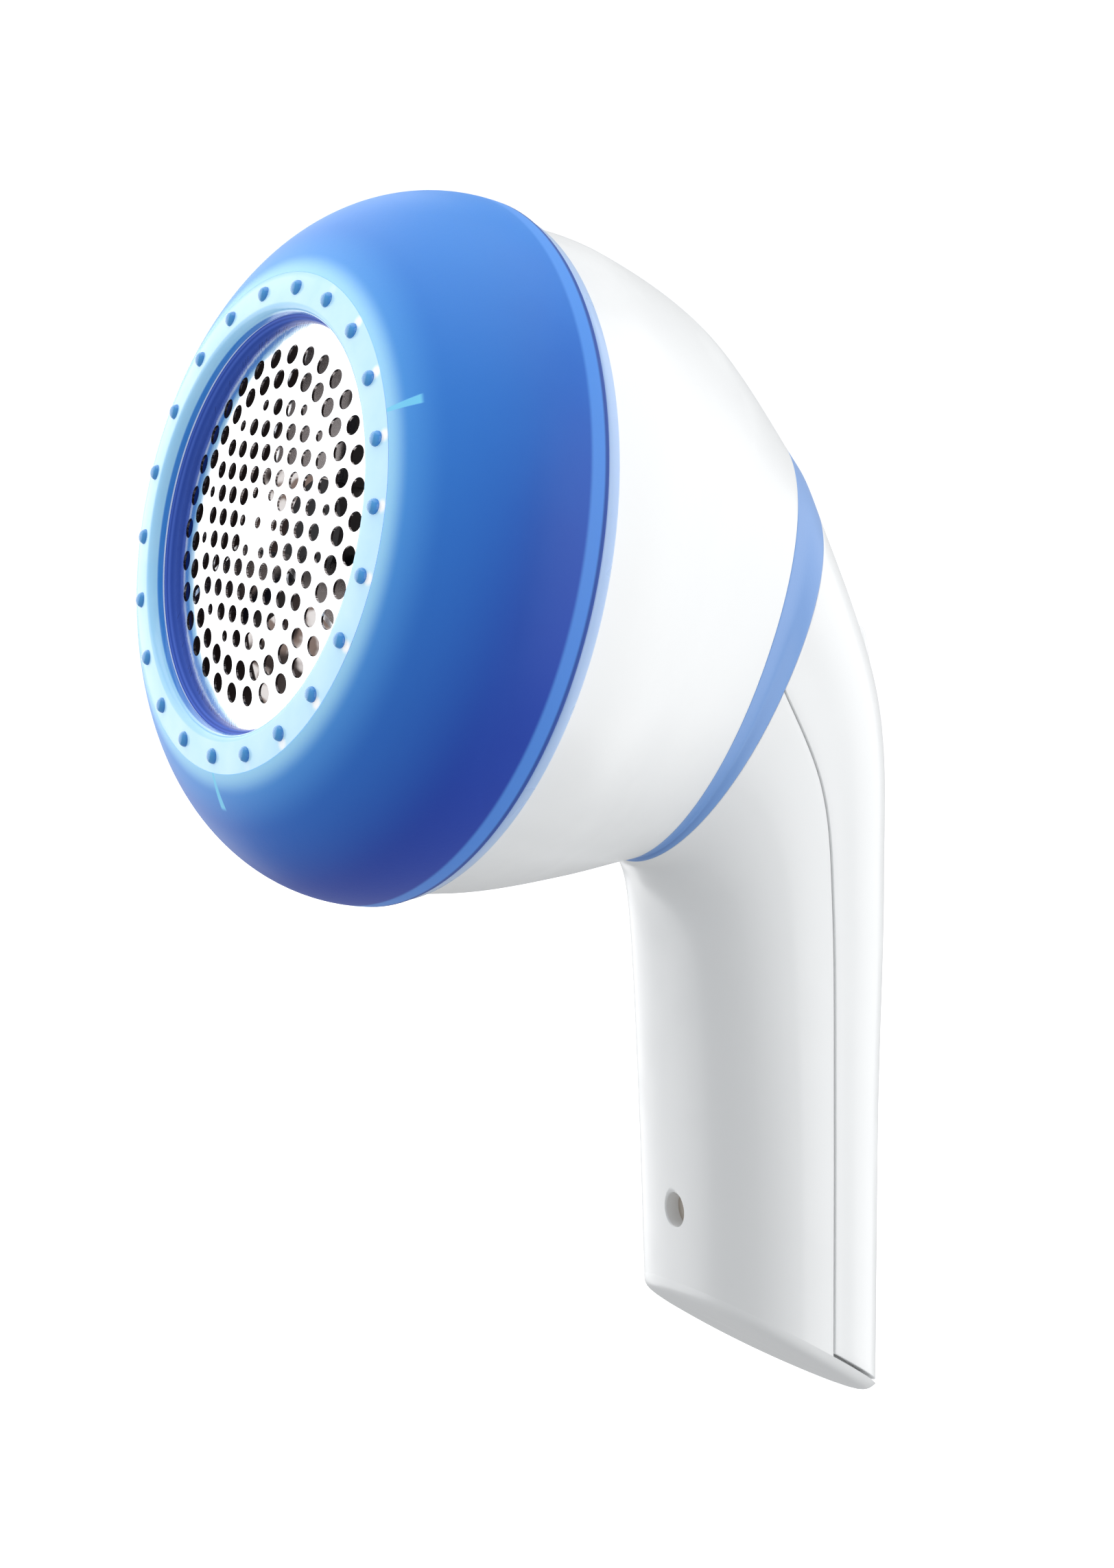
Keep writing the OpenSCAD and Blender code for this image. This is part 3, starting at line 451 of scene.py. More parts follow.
FINISH = {
    "ring_deep": ring_deep(),
    "white_gloss": white_shell(),
    "band_blue": band_satin(),
    "guard_blue": guard_frost(),
    "face_clear": ring_clear(),
    "nub_blue": nub_blue(),
    "collar_pale": collar_pale(),
    "foil_steel": metal("foil_polish", (0.9, 0.91, 0.93), (0.84, 0.85, 0.88), 0.04, 0.0006,
                        (1.0, 1.0, 0.05), 0.000002),
    "steel": metal("blade_steel", (0.72, 0.72, 0.74), (0.58, 0.57, 0.56), 0.2, 0.0005,
                   (0.1, 1.0, 1.0)),
    "motor_steel": metal("plated_steel", (0.56, 0.58, 0.61), (0.47, 0.49, 0.52), 0.26, 0.0009),
    "bronze": metal("oiled_bronze", (0.5, 0.33, 0.15), (0.38, 0.23, 0.1), 0.35, 0.0006),
    "contact_brass": metal("contact_brass", (0.8, 0.58, 0.24), (0.66, 0.45, 0.17), 0.22, 0.0006),
    "copper": metal("enamelled_copper", (0.62, 0.24, 0.09), (0.5, 0.17, 0.06), 0.25, 0.0004,
                    (1.0, 0.08, 1.0), 0.00003),
    "chamber_clear": lint_wall(),
    # the jack's faint glow is painted light, so the inside of the charging hole doesn't look dark
    "jack_grey": plain("jack_grey", (0.42, 0.39, 0.35), (0.5, 0.47, 0.43), 0.5, 0.0005, 0.00003,
                       emission_color=(0.45, 0.41, 0.37), emission_strength=0.25),
    "black_plastic": plain("black_plastic", (0.012, 0.012, 0.014), (0.024, 0.023, 0.024), 0.42,
                           0.0004, 0.00002),
    "white_plastic": plain("white_plastic", (0.76, 0.76, 0.73), (0.82, 0.82, 0.8), 0.4,
                           0.0006, 0.00002),
    "felt": plain("felt", (0.06, 0.06, 0.064), (0.1, 0.1, 0.104), 0.85, 0.0003, 0.0003),
    "magnet": plain("sintered_magnet", (0.03, 0.03, 0.033), (0.055, 0.053, 0.055), 0.6,
                    0.0003, 0.00005),
    "cell_green": plain("cell_sleeve", (0.02, 0.22, 0.09), (0.03, 0.28, 0.12), 0.25,
                        0.002, 0.00004, coat_weight=0.5),
    "board_green": board_mask(),
    "wire_yellow": plain("wire_yellow", (0.75, 0.5, 0.03), (0.82, 0.58, 0.06), 0.4, 0.0006, 0.00002),
    "wire_red": plain("wire_red", (0.55, 0.02, 0.015), (0.65, 0.035, 0.025), 0.4, 0.0006, 0.00002),
    "wire_black": plain("wire_black", (0.012, 0.012, 0.012), (0.022, 0.022, 0.022), 0.45,
                        0.0006, 0.00002),
}
print("finishes:", len(FINISH))


# %% [markdown]
# ## From points to a piece
# A piece is a mesh whose points are already where they belong, in metres, so its object stays at the
# origin. Shading is smooth except at sharp edges. The helper also says which body the piece rides
# on, which CAD nodes it stands for, and which finish slot it takes.

# %% Make a finished piece
MERGE = 1e-7


def placed(name, data):
    """A new object in the scene."""
    obj = bpy.data.objects.new(name, data)
    bpy.context.scene.collection.objects.link(obj)
    return obj


def outward(mesh, merge=0.0):
    """The mesh with its faces outwards, after points nearer than merge are made one."""
    made = bmesh.new()
    made.from_mesh(mesh)
    if merge:
        bmesh.ops.remove_doubles(made, verts=made.verts, dist=merge)
    bmesh.ops.recalc_face_normals(made, faces=made.faces)
    made.to_mesh(mesh)
    made.free()
    return mesh


def piece(name, mesh, finish, body, replaces=(), sharp=35):
    outward(mesh, MERGE)
    mesh.shade_smooth()
    mesh.set_sharp_from_angle(angle=math.radians(sharp))
    mesh.materials.clear()
    mesh.materials.append(FINISH[finish])
    obj = placed(name, mesh)
    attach(obj, body)
    if replaces:
        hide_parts(*replaces)
    print(f"{name}: {len(mesh.polygons)} faces")


def mesh_of(name, points, faces):
    mesh = bpy.data.meshes.new(name)
    mesh.from_pydata([tuple(p) for p in points], [], faces)
    mesh.validate()
    return mesh


# %% [markdown]
# ## Turned parts
# The guard, its collar and the foil ring are bodies of revolution: an outline is turned round the
# head axis, which is the Y axis. Real edges are never knife sharp, so each corner of an outline
# may carry a radius, and is replaced by a short arc.

# %% Outlines with rounded corners, and turning them
def rounded(corners, arc=5):
    """Outline through [radius, depth, corner radius] in millimetres."""
    line = []
    for k, (r, y, turn) in enumerate(corners):
        here = Vector((r, y))
        if turn <= 0:
            line.append(here)
            continue
        back = (Vector(corners[k - 1][:2]) - here).normalized()
        on = (Vector(corners[(k + 1) % len(corners)][:2]) - here).normalized()
        half = back.angle(on) / 2
        middle = here + (back + on).normalized() * turn / math.sin(half)
        first = here + back * turn / math.tan(half) - middle
        last = here + on * turn / math.tan(half) - middle
        for j in range(arc + 1):
            reach = first.slerp(last, j / arc) if first.angle(last) < 3.1 else first
            line.append(middle + reach)
    return line


def swept(outline, angles):
    """Points of an outline of (radius, depth) in millimetres at each angle round the Y axis."""
    return [Vector((r * math.cos(a), y, r * math.sin(a))) * MM for a in angles for r, y in outline]


def turned(name, outline, around=192, capped=False):
    """An outline turned round the Y axis: a closed ring, or a solid that is capped at both ends."""
    count = len(outline)
    starts = [j * count for j in range(around)]
    faces = []
    for here, there in zip(starts, starts[1:] + starts[:1]):
        for k in range(count - 1 if capped else count):
            n = (k + 1) % count
            faces.append((here + k, here + n, there + n, there + k))
    if capped:
        faces += [starts, [start + count - 1 for start in starts]]
    return mesh_of(name, swept(outline, [2 * math.pi * j / around for j in range(around)]), faces)


# %% [markdown]
# ## The guard
# Its flank is a quarter of an ellipse from the flat ring round to the widest circle, where it takes
# the cloth away from the blades. The sizes repeat the CAD model's. The small chamfer at its rear
# edge leaves a fine groove in front of the collar.

# %% Guard flank
NUB_CIRCLE_R = 27.0
FACE_HALF = 1.9
OPEN_R = NUB_CIRCLE_R - FACE_HALF
FLAT_R = NUB_CIRCLE_R + FACE_HALF
BULGE_Y = 18.4
MAX_R = FLAT_R + 12.7
RISE = 23.4
MID_R = MAX_R - RISE
RUN = BULGE_Y / math.sqrt(1 - ((FLAT_R - MID_R) / RISE) ** 2)
FACE_T = 1.3
GUARD_WALL = 2.0
RIM_Y = 22.0
COLLAR_T = 1.1
GUARD_BACK = RIM_Y - COLLAR_T - 0.1
RIM_R = MAX_R - 1.8


def flank(run, rise, y):
    """Radius of the flank's ellipse at depth y."""
    return MID_R + rise * math.sqrt(1 - ((BULGE_Y - y) / run) ** 2)


def flank_line(run, rise, y0, y1, steps=48):
    """The flank's line, with points evenly spread along the ellipse."""
    a0, a1 = (math.asin((BULGE_Y - y) / run) for y in (y0, y1))
    angles = [a0 + (a1 - a0) * k / steps for k in range(steps + 1)]
    return [Vector((MID_R + rise * math.cos(a), BULGE_Y - run * math.sin(a))) for a in angles]


outer = flank_line(RUN, RISE, 0.02, GUARD_BACK - 0.35)
inner = flank_line(RUN - GUARD_WALL, RISE - GUARD_WALL, FACE_T, GUARD_BACK - 0.3)
tail_out, tail_in = outer[-1], inner[-1]
tail = [Vector((tail_out.x - 0.12, GUARD_BACK - 0.1)), Vector((tail_out.x - 0.4, GUARD_BACK)),
        Vector((tail_in.x + 0.4, GUARD_BACK)), Vector((tail_in.x + 0.1, GUARD_BACK - 0.1))]
piece("guard_flank", turned("guard_flank", outer + tail + inner[::-1]),
      "guard_blue", "guard", ["guard_cap"])

# %% [markdown]
# ## The face ring
# The flat ring in the middle has a stepped opening: a thin front edge, and a wider bore behind it.
# The real ring also has three faint marks. They aren't shaped here, because the streaks in the
# flank's finish already show where they are.

# %% Face ring
foot = inner[0]
ring_line = rounded([
    (OPEN_R, 0, 0.3), (FLAT_R, 0, 0), (foot.x, FACE_T, 0), (OPEN_R + 0.5, FACE_T, 0.1),
    (OPEN_R + 0.5, 0.85, 0.1), (OPEN_R, 0.85, 0.1)])
piece("face_ring", turned("face_ring", ring_line), "face_clear", "guard", ["face_ring"])

# %% [markdown]
# ## The nubs, with Geometry Nodes
# Twenty-two equal nubs stand on one circle, so a small tree makes them: the points of a mesh circle
# each get an instance of one nub. The nub is a sphere pushed out to a rounded post: dividing each
# point by the cube root of (ring radius cubed + height cubed) turns a sphere into a superellipsoid.

# %% A recipe is a wiring for Geometry Nodes
class Recipe(Wiring):
    """A Geometry Nodes tree with named inputs, which ends in plain, finished geometry."""

    KINDS = {int: "NodeSocketInt", float: "NodeSocketFloat"}

    def __init__(self, name, **sizes):
        tree = bpy.data.node_groups.new(name, "GeometryNodeTree")
        super().__init__(tree)
        tree.interface.new_socket("Geometry", in_out="OUTPUT", socket_type="NodeSocketGeometry")
        self.ids = {}
        for size, value in sizes.items():
            kind = self.KINDS[type(value)]
            self.ids[size] = tree.interface.new_socket(size, in_out="INPUT", socket_type=kind).identifier
        self.sizes = sizes
        self.source = tree.nodes.new("NodeGroupInput")

    def get(self, size):
        return Link(self, self.source.outputs[size])

    def move(self, shape, turn=(0, 0, 0), shift=(0, 0, 0)):
        turned_by = tuple(math.radians(a) for a in turn)
        return self.add("GeometryNodeTransform", None,
                        {"Geometry": shape, "Rotation": turned_by, "Translation": shift})

    def finish(self, shape, finish):
        """Ends the tree, runs it once and gives the mesh."""
        shape = self.add("GeometryNodeRealizeInstances", None, {0: shape})
        shape = self.add("GeometryNodeSetMaterial", None, {"Geometry": shape, "Material": FINISH[finish]})
        end = self.tree.nodes.new("NodeGroupOutput")
        self.tree.links.new(shape.socket, end.inputs[0])
        holder = placed(self.tree.name, bpy.data.meshes.new(self.tree.name))
        step = holder.modifiers.new(self.tree.name, "NODES")
        step.node_group = self.tree
        for size, value in self.sizes.items():
            step[self.ids[size]] = value
        ready = holder.evaluated_get(bpy.context.evaluated_depsgraph_get())
        mesh = bpy.data.meshes.new_from_object(ready)
        bpy.data.objects.remove(holder)
        return mesh


# %% Nubs
def nubs():
    g = Recipe("face_nubs", count=NUB_COUNT, circle=NUB_CIRCLE_R * MM, radius=0.94 * MM,
               height=1.0 * MM)
    circle = g.add("GeometryNodeMeshCircle", None, {"Vertices": g.get("count"), "Radius": g.get("circle")})
    ball = g.add("GeometryNodeMeshUVSphere", None, {"Segments": 20, "Rings": 14, "Radius": 1.0})
    x, y, z = g.parts(g.add("GeometryNodeInputPosition"))
    flat = (x * x + y * y) ** 1.5
    tall = g.maths("ABSOLUTE", z) ** 3
    push = (flat + tall) ** (-1 / 3)
    place = g.cross(x * push * g.get("radius"), y * push * g.get("radius"), z * push * g.get("height"))
    nub = g.add("GeometryNodeSetPosition", None, {"Geometry": ball, "Position": place})
    spread = g.add("GeometryNodeInstanceOnPoints", None, {"Points": circle, "Instance": nub})
    return g.finish(g.move(spread, (90, 90, 0)), "nub_blue")


piece("face_nubs", nubs(), "nub_blue", "guard", sharp=60)

# %% [markdown]
# ## The collar and the foil ring
# Both are turned. The collar is the pale rim behind the guard, with the spigot that the guard is
# pushed on to. The foil ring holds the foil's edge under a thin lip, and its three lugs, each a
# short block of a ring, lock it into the cup with a twist.

# %% Collar
CHAMBER_R = RIM_R - 6.8
SPIGOT_R = MAX_R - GUARD_WALL - 1.2
collar_line = rounded([
    (CHAMBER_R + 0.2, RIM_Y - COLLAR_T, 0.1), (SPIGOT_R - 1.8, RIM_Y - COLLAR_T, 0.3),
    (SPIGOT_R - 1.8, 13, 0.2), (SPIGOT_R, 13, 0.5), (SPIGOT_R, RIM_Y - COLLAR_T, 0.15),
    (RIM_R + 0.7, RIM_Y - COLLAR_T, 0.3), (RIM_R + 0.1, RIM_Y - 0.02, 0.1),
    (CHAMBER_R + 0.2, RIM_Y - 0.02, 0.1)])
piece("collar", turned("collar", collar_line), "collar_pale", "body", ["collar_ring"])

# %% Foil ring with its three lugs
FOIL_R = OPEN_R - 0.8
DOME_R = 121.5
LIP = 0.68
FOIL_EDGE_Y = FACE_T + 0.4 + LIP
APEX_Y = max(0.0, FOIL_EDGE_Y - FOIL_R ** 2 / (2 * DOME_R))
FOIL_EDGE_Y = APEX_Y + FOIL_R ** 2 / (2 * DOME_R)
RING_FRONT = FOIL_EDGE_Y - LIP
LUG_REACH = 1.2
LUG_ANGLES = (90, 210, 330)
RING_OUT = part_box("foil_ring")[1].z / MM - LUG_REACH
print("foil ring's outer radius:", round(RING_OUT, 2), "mm")


def sector(r0, r1, y0, y1, middle, half, steps=10):
    """Block of a ring between two radii, two depths and two angles in degrees."""
    angles = [math.radians(middle - half + 2 * half * j / steps) for j in range(steps + 1)]
    points = swept(((r0, y0), (r1, y0), (r1, y1), (r0, y1)), angles)
    faces = []
    for j in range(steps):
        for k in range(4):
            n = (k + 1) % 4
            faces.append((4 * j + k, 4 * j + n, 4 * j + 4 + n, 4 * j + 4 + k))
    last = 4 * steps
    return points, faces + [(3, 2, 1, 0), (last, last + 1, last + 2, last + 3)]


def joined(name, *meshes):
    """One mesh from several."""
    whole = bmesh.new()
    for mesh in meshes:
        whole.from_mesh(mesh)
    mesh = bpy.data.meshes.new(name)
    whole.to_mesh(mesh)
    whole.free()
    return mesh


ring_line = rounded([
    (FOIL_R + 0.1, RING_FRONT + 0.3, 0.08), (FOIL_R + 0.9, RING_FRONT + 0.3, 0.08),
    (FOIL_R + 0.9, RING_FRONT, 0.08), (RING_OUT - 0.8, RING_FRONT, 0.1),
    (RING_OUT, RING_FRONT + 0.9, 0.15), (RING_OUT, 12, 0.15),
    (RING_OUT - 1.08, 12, 0.15), (RING_OUT - 1.08, FOIL_EDGE_Y, 0.1), (FOIL_R + 0.1, FOIL_EDGE_Y, 0.05)])
lugs = [mesh_of("lug", *sector(RING_OUT - 0.3, RING_OUT + LUG_REACH, 9.8, 11.2, a, 7))
        for a in LUG_ANGLES]
piece("foil_holder", joined("foil_holder", turned("foil_ring", ring_line), *lugs),
      "ring_deep", "foil_head", ["foil_ring"])

# %% [markdown]
# ## The foil, with Geometry Nodes
# The foil is a thin dome with two rings of holes round a hexagonal field. The tree puts a point where
# each hole goes, an instance of a circle on each point, and lets Fill Curve cut all circles out of
# the disc at once. Only then is the flat plate lifted on to the dome and given its thickness, so that
# no slow Boolean is needed. The hexagonal grid counts in two slanted directions, q and r.

# %% Foil
def foil():
    g = Recipe("foil", ring_holes=32, ring_hole=2.35 * MM, field_hole=2.05 * MM, small_hole=1.35 * MM,
               pitch=(FOIL_R - 8.8) / 5 * MM, outer_ring=(FOIL_R - 4.6) * MM, ring_step=2.8 * MM,
               edge=FOIL_R * MM, flange=(RING_OUT - 1.2 - FOIL_R) * MM, dome=DOME_R * MM,
               apex=APEX_Y * MM, thick=0.3 * MM)
    circle = g.add("GeometryNodeCurvePrimitiveCircle", None, {"Resolution": 20, "Radius": 1.0})
    index = g.add("GeometryNodeInputIndex")

    q = g.maths("FLOOR", index / 11.0) - 5.0
    r = g.maths("MODULO", index, 11.0) - 5.0
    far = [g.maths("ABSOLUTE", v) for v in (q, r, q + r)]
    biggest = g.maths("MAXIMUM", g.maths("MAXIMUM", far[0], far[1]), far[2])
    smallest = g.maths("MINIMUM", g.maths("MINIMUM", far[0], far[1]), far[2])
    rim = biggest > 4.5
    corner = rim * (smallest < 0.5)
    beside = rim * (smallest > 0.5) * (smallest < 1.5)
    nearest = (biggest > 0.5) * (biggest < 1.5)
    spread = g.get("pitch") * (1.0 + nearest * 0.235)
    field_place = g.cross(spread * (q + r * 0.5), spread * r * math.sqrt(0.75), 0.0)
    small = (biggest < 1.5) + beside
    field_r = (g.get("field_hole") + (g.get("small_hole") - g.get("field_hole")) * small) * 0.5
    field_points = g.add("GeometryNodePoints", None, {"Count": 121, "Position": field_place})
    field = g.add("GeometryNodeInstanceOnPoints", None, {
        "Points": field_points, "Instance": circle, "Selection": (biggest < 5.5) * (1.0 - corner),
        "Scale": g.cross(field_r, field_r, field_r)})

    which = g.maths("FLOOR", index / g.get("ring_holes"))
    turn = (index + 0.5 * (1.0 - which)) * (2 * math.pi) / g.get("ring_holes")
    ring_r = g.get("outer_ring") - which * g.get("ring_step")
    ring_place = g.cross(ring_r * g.maths("COSINE", turn), ring_r * g.maths("SINE", turn), 0.0)
    ring_points = g.add("GeometryNodePoints", None, {"Count": g.get("ring_holes") * 2.0,
                                                     "Position": ring_place})
    hole_r = g.get("ring_hole") * 0.5
    rings = g.add("GeometryNodeInstanceOnPoints", None, {
        "Points": ring_points, "Instance": circle, "Scale": g.cross(hole_r, hole_r, hole_r)})

    rim_circle = g.add("GeometryNodeCurvePrimitiveCircle", None,
                       {"Resolution": 192, "Radius": g.get("edge") + g.get("flange")})
    curves = g.add("GeometryNodeJoinGeometry", None, {0: [field, rings, rim_circle]})
    curves = g.add("GeometryNodeRealizeInstances", None, {0: curves})
    plate = g.add("GeometryNodeFillCurve", {"mode": "TRIANGLES"}, {"Curve": curves})
    plate = g.add("GeometryNodeSubdivideMesh", None, {"Mesh": plate, "Level": 1})

    x, y, z = g.parts(g.add("GeometryNodeInputPosition"))
    out = g.maths("MINIMUM", (x * x + y * y) ** 0.5, g.get("edge"))
    depth = g.get("apex") + out * out / (2.0 * g.get("dome"))
    plate = g.add("GeometryNodeSetPosition", None, {"Geometry": plate,
                                                    "Offset": g.cross(0.0, 0.0, 0.0 - depth)})
    back = g.add("GeometryNodeExtrudeMesh", {"mode": "FACES"},
                 {"Mesh": plate, "Offset Scale": 0.0 - g.get("thick"), "Individual": False})
    both = g.add("GeometryNodeJoinGeometry", None, {0: [plate, back]})
    return g.finish(g.move(both, (90, 0, 0)), "foil_steel")


piece("shaving_foil", foil(), "foil_steel", "foil_head", ["foil"], sharp=50)

# %% [markdown]
# ## The body's skin
# Head, neck and handle are one flowing form, so one rule describes them all. At each station along
# the body there is a cross-section: a point on the spine, a point on the belly, half a width and a
# roundness. Between stations the values run on smooth Catmull-Rom curves, and each section is a
# superellipse. Every shell is a piece of this one skin, which is why their edges meet exactly.

# %% The stations and the rule between them
NECK_RUN, NECK_H, NECK_HALF_W = 33.4, 54.3, 17.4
TILT = math.radians(13)
HANDLE_LEN, HANDLE_HALF_W, HANDLE_T, FOOT_RAKE = 53.0, 17.2, 25.0, 15.0
BELLY_T = 7.4
MID_T = BELLY_T + HANDLE_T / 2
WALL = 2.0
THROAT = Vector((RIM_Y + NECK_RUN, 8.2 - RIM_R))


def handle_at(s, t):
    """(Y, Z) of the point s down the handle from the throat and t back from its front."""
    return (THROAT + s * Vector((math.sin(TILT), -math.cos(TILT)))
            + t * Vector((math.cos(TILT), math.sin(TILT))))


NECK_LEAN = math.radians(10.2)
NECK_TOP = THROAT + NECK_H * Vector((math.sin(NECK_LEAN), math.cos(NECK_LEAN)))
STATIONS = [[*spine, *belly, half_w, roundness] for spine, belly, half_w, roundness in (
    ((RIM_Y, RIM_R), (RIM_Y, -RIM_R), RIM_R, 2.0),
    ((RIM_Y + 0.36 * NECK_RUN, 0.97 * RIM_R), (RIM_Y + 0.33 * NECK_RUN, -0.96 * RIM_R),
     0.55 * RIM_R + 0.725 * NECK_HALF_W, 2.05),
    ((RIM_Y + 0.84 * NECK_RUN, 0.827 * RIM_R), (RIM_Y + 0.69 * NECK_RUN, -0.88 * RIM_R),
     0.25 * RIM_R + 0.865 * NECK_HALF_W, 2.1),
    (NECK_TOP, THROAT, NECK_HALF_W, 2.1),
    (handle_at(12.1 - NECK_H, HANDLE_T + 0.8), handle_at(0.4, 1.6),
     0.65 * NECK_HALF_W + 0.3 * HANDLE_HALF_W, 2.1),
    (handle_at(-19.5, HANDLE_T + 8.6), handle_at(2.3, 3.8), 0.988 * HANDLE_HALF_W, 2.2),
    (handle_at(4.1, HANDLE_T + 8.7), handle_at(9, 6.1), HANDLE_HALF_W, 2.3),
    (handle_at(0.61 * HANDLE_LEN, HANDLE_T + 7.4), handle_at(0.59 * HANDLE_LEN, BELLY_T),
     HANDLE_HALF_W, 2.3),
    (handle_at(HANDLE_LEN + FOOT_RAKE, HANDLE_T + 6.8), handle_at(HANDLE_LEN, 7.9),
     0.977 * HANDLE_HALF_W, 2.3))]
ENDS = ([2 * a - b for a, b in zip(STATIONS[0], STATIONS[1])],
        [2 * a - b for a, b in zip(STATIONS[-1], STATIONS[-2])])


def section(u):
    """Spine point, belly point, half width and roundness at u."""
    i = min(int(math.floor(u)), len(STATIONS) - 2)
    f = u - i
    rows = [ENDS[0] if k < 0 else ENDS[1] if k >= len(STATIONS) else STATIONS[k] for k in range(i - 1, i + 3)]
    return [0.5 * (2 * b + (c - a) * f + (2 * a - 5 * b + 4 * c - d) * f ** 2
                   + (3 * b - a - 3 * c + d) * f ** 3) for a, b, c, d in zip(*rows)]


def signed_power(v, p):
    return math.copysign(abs(v) ** p, v)


def skin(u, angle, inset=0.0):
    """Point of the skin: 0 degrees is the spine, 90 the widest line at +X, 180 the belly."""
    sy, sz, by, bz, width, n = section(u)
    half = Vector((sy - by, sz - bz)) / 2
    middle = Vector((sy + by, sz + bz)) / 2
    axis = half * (1 - inset / half.length)
    c = signed_power(math.cos(math.radians(angle)), 2 / n)
    w = (width - inset) * signed_power(math.sin(math.radians(angle)), 2 / n)
    at = middle + axis * c
    return Vector((w, at.x, at.y)) * MM


def pace(u):
    """Millimetres that the skin advances for one unit of u, half way up the side."""
    return (skin(u + 0.01, 90) - skin(u - 0.01, 90)).length / MM / 0.02


# %% [markdown]
# A shell is a strip of the skin with a wall behind it. Its edges dip inwards over the last few
# tenths of a millimetre, and that soft edge is what makes a seam read as a fine line. The two halves
# of the handle meet at the widest line, so their strips stop a little short of 90 degrees.

# %% Shells
AROUND = 192
RIM_SOFT = 0.25
SEAM_SOFT = 0.12


def edge_rows(u0, u1, steps, soft0, soft1):
    """Places along the body as (u, inset), dense at the soft edges."""
    dip = ((0.0, 1.0), (0.15, 0.5), (0.45, 0.15), (1.0, 0.0))
    front, rear = ([(u + inwards * soft * reach / pace(u), soft * drop)
                    for reach, drop in (dip if soft else ((0.0, 0.0),))]
                   for u, inwards, soft in ((u0, 1, soft0), (u1, -1, soft1)))
    a, b = front[-1][0], rear[-1][0]
    middle = [(a + (b - a) * k / steps, 0.0) for k in range(1, steps)]
    return front + middle + rear[::-1]


def all_round(count):
    """Columns right round the skin."""
    return lambda u: [(360 * j / count, 0.0) for j in range(count)]


def half_round(start, gap, count, soft=0.25):
    """Columns of a half shell whose edges stop gap millimetres short of the widest line."""
    def columns(u):
        sy, sz, by, bz, width, n = section(u)
        half = math.hypot(sy - by, sz - bz) / 2
        dip = ((0.0, 1.0), (0.12, 0.5), (0.4, 0.15), (1.0, 0.0))
        edge = [(math.degrees(math.asin(((gap + soft * reach) / half) ** (n / 2))), soft * drop)
                for reach, drop in dip]
        last = edge[-1][0]
        angles = edge + [(last + (180 - 2 * last) * k / count, 0.0) for k in range(1, count)]
        angles += [(180 - a, drop) for a, drop in edge[::-1]]
        return [(start + a, drop) for a, drop in angles]
    return columns


def shell(name, rows, columns, wall=WALL, closed=True):
    points, faces = [], []
    outer_rows = [[skin(u, a, max(drop, dip)) for a, dip in columns(u)] for u, drop in rows]
    inner_rows = [[skin(u, a, wall) for a, dip in columns(u)] for u, drop in rows[::-1]]
    loop = outer_rows + inner_rows
    wide = len(loop[0])
    for row in loop:
        points += row
    for k in range(len(loop)):
        n = (k + 1) % len(loop)
        for j in range(wide if closed else wide - 1):
            m = (j + 1) % wide
            faces.append((k * wide + j, n * wide + j, n * wide + m, k * wide + m))
    if not closed:
        for k in range(len(rows) - 1):
            far = len(loop) - 1 - k
            for j in (0, wide - 1):
                faces.append((k * wide + j, (k + 1) * wide + j, (far - 1) * wide + j, far * wide + j))
    return mesh_of(name, points, faces)


piece("head_shell", shell("head_shell", edge_rows(0, 3, 66, RIM_SOFT, SEAM_SOFT), all_round(AROUND)),
      "white_gloss", "body", ["head_housing"])
piece("accent_wedge",
      shell("accent_wedge", edge_rows(3, 4, 24, SEAM_SOFT, SEAM_SOFT), all_round(AROUND)),
      "band_blue", "body", ["accent_band"])


# %% [markdown]
# ## Cutting holes
# The charging hole, the pocket of the thumb switch and the screw wells are cut with Booleans, since
# they are single openings of different shapes. The charging hole's cutter flares where it leaves the
# skin, and that gives the hole its rounded lip.

# %% Cutters
HOLE_AROUND = 48


def cut(mesh, *cutters):
    """The mesh with each cutter's shape taken away."""
    holder = placed("cut", mesh)
    tools = []
    for k, tool in enumerate(cutters):
        obj = placed(f"tool{k}", tool)
        step = holder.modifiers.new(obj.name, "BOOLEAN")
        step.operation = "DIFFERENCE"
        step.solver = "EXACT"
        step.object = obj
        tools.append(obj)
    ready = holder.evaluated_get(bpy.context.evaluated_depsgraph_get())
    result = bpy.data.meshes.new_from_object(ready)
    for obj in tools + [holder]:
        bpy.data.objects.remove(obj)
    return result


def in_handle(mesh, s, t, x=0.0):
    """Moves a part drawn round the Y axis into the handle's own frame."""
    at = handle_at(s, t)
    mesh.transform(Matrix.Translation(Vector((x, at.x, at.y)) * MM) @ Matrix.Rotation(TILT, 4, "X"))
    return mesh


def on_spine(mesh, z=0.0):
    """Moves a part on to the spine, where the thumb switch is: Y points out and Z up the spine."""
    lean = math.atan2(STATIONS[6][0] - STATIONS[4][0], STATIONS[4][1] - STATIONS[6][1])
    mesh.transform(Matrix.Translation(Vector((0, STATIONS[5][0], STATIONS[5][1])) * MM)
                   @ Matrix.Rotation(lean, 4, "X") @ Matrix.Translation((0, 0, z * MM)))
    return mesh


def block(name, low, high, soft, segments=4):
    """Box between two corners, with all its edges rounded."""
    made = bmesh.new()
    bmesh.ops.create_cube(made, size=1.0)
    for v in made.verts:
        v.co = Vector([(lo if c < 0 else hi) for c, lo, hi in zip(v.co, low, high)]) * MM
    if soft:
        bmesh.ops.bevel(made, geom=made.edges[:], offset=soft * MM, segments=segments, profile=0.5,
                        affect="EDGES")
    mesh = bpy.data.meshes.new(name)
    made.to_mesh(mesh)
    made.free()
    return mesh


def plug(outline):
    """Round solid with a flat cap at each end of its outline."""
    return outward(turned("plug", outline, HOLE_AROUND, capped=True))


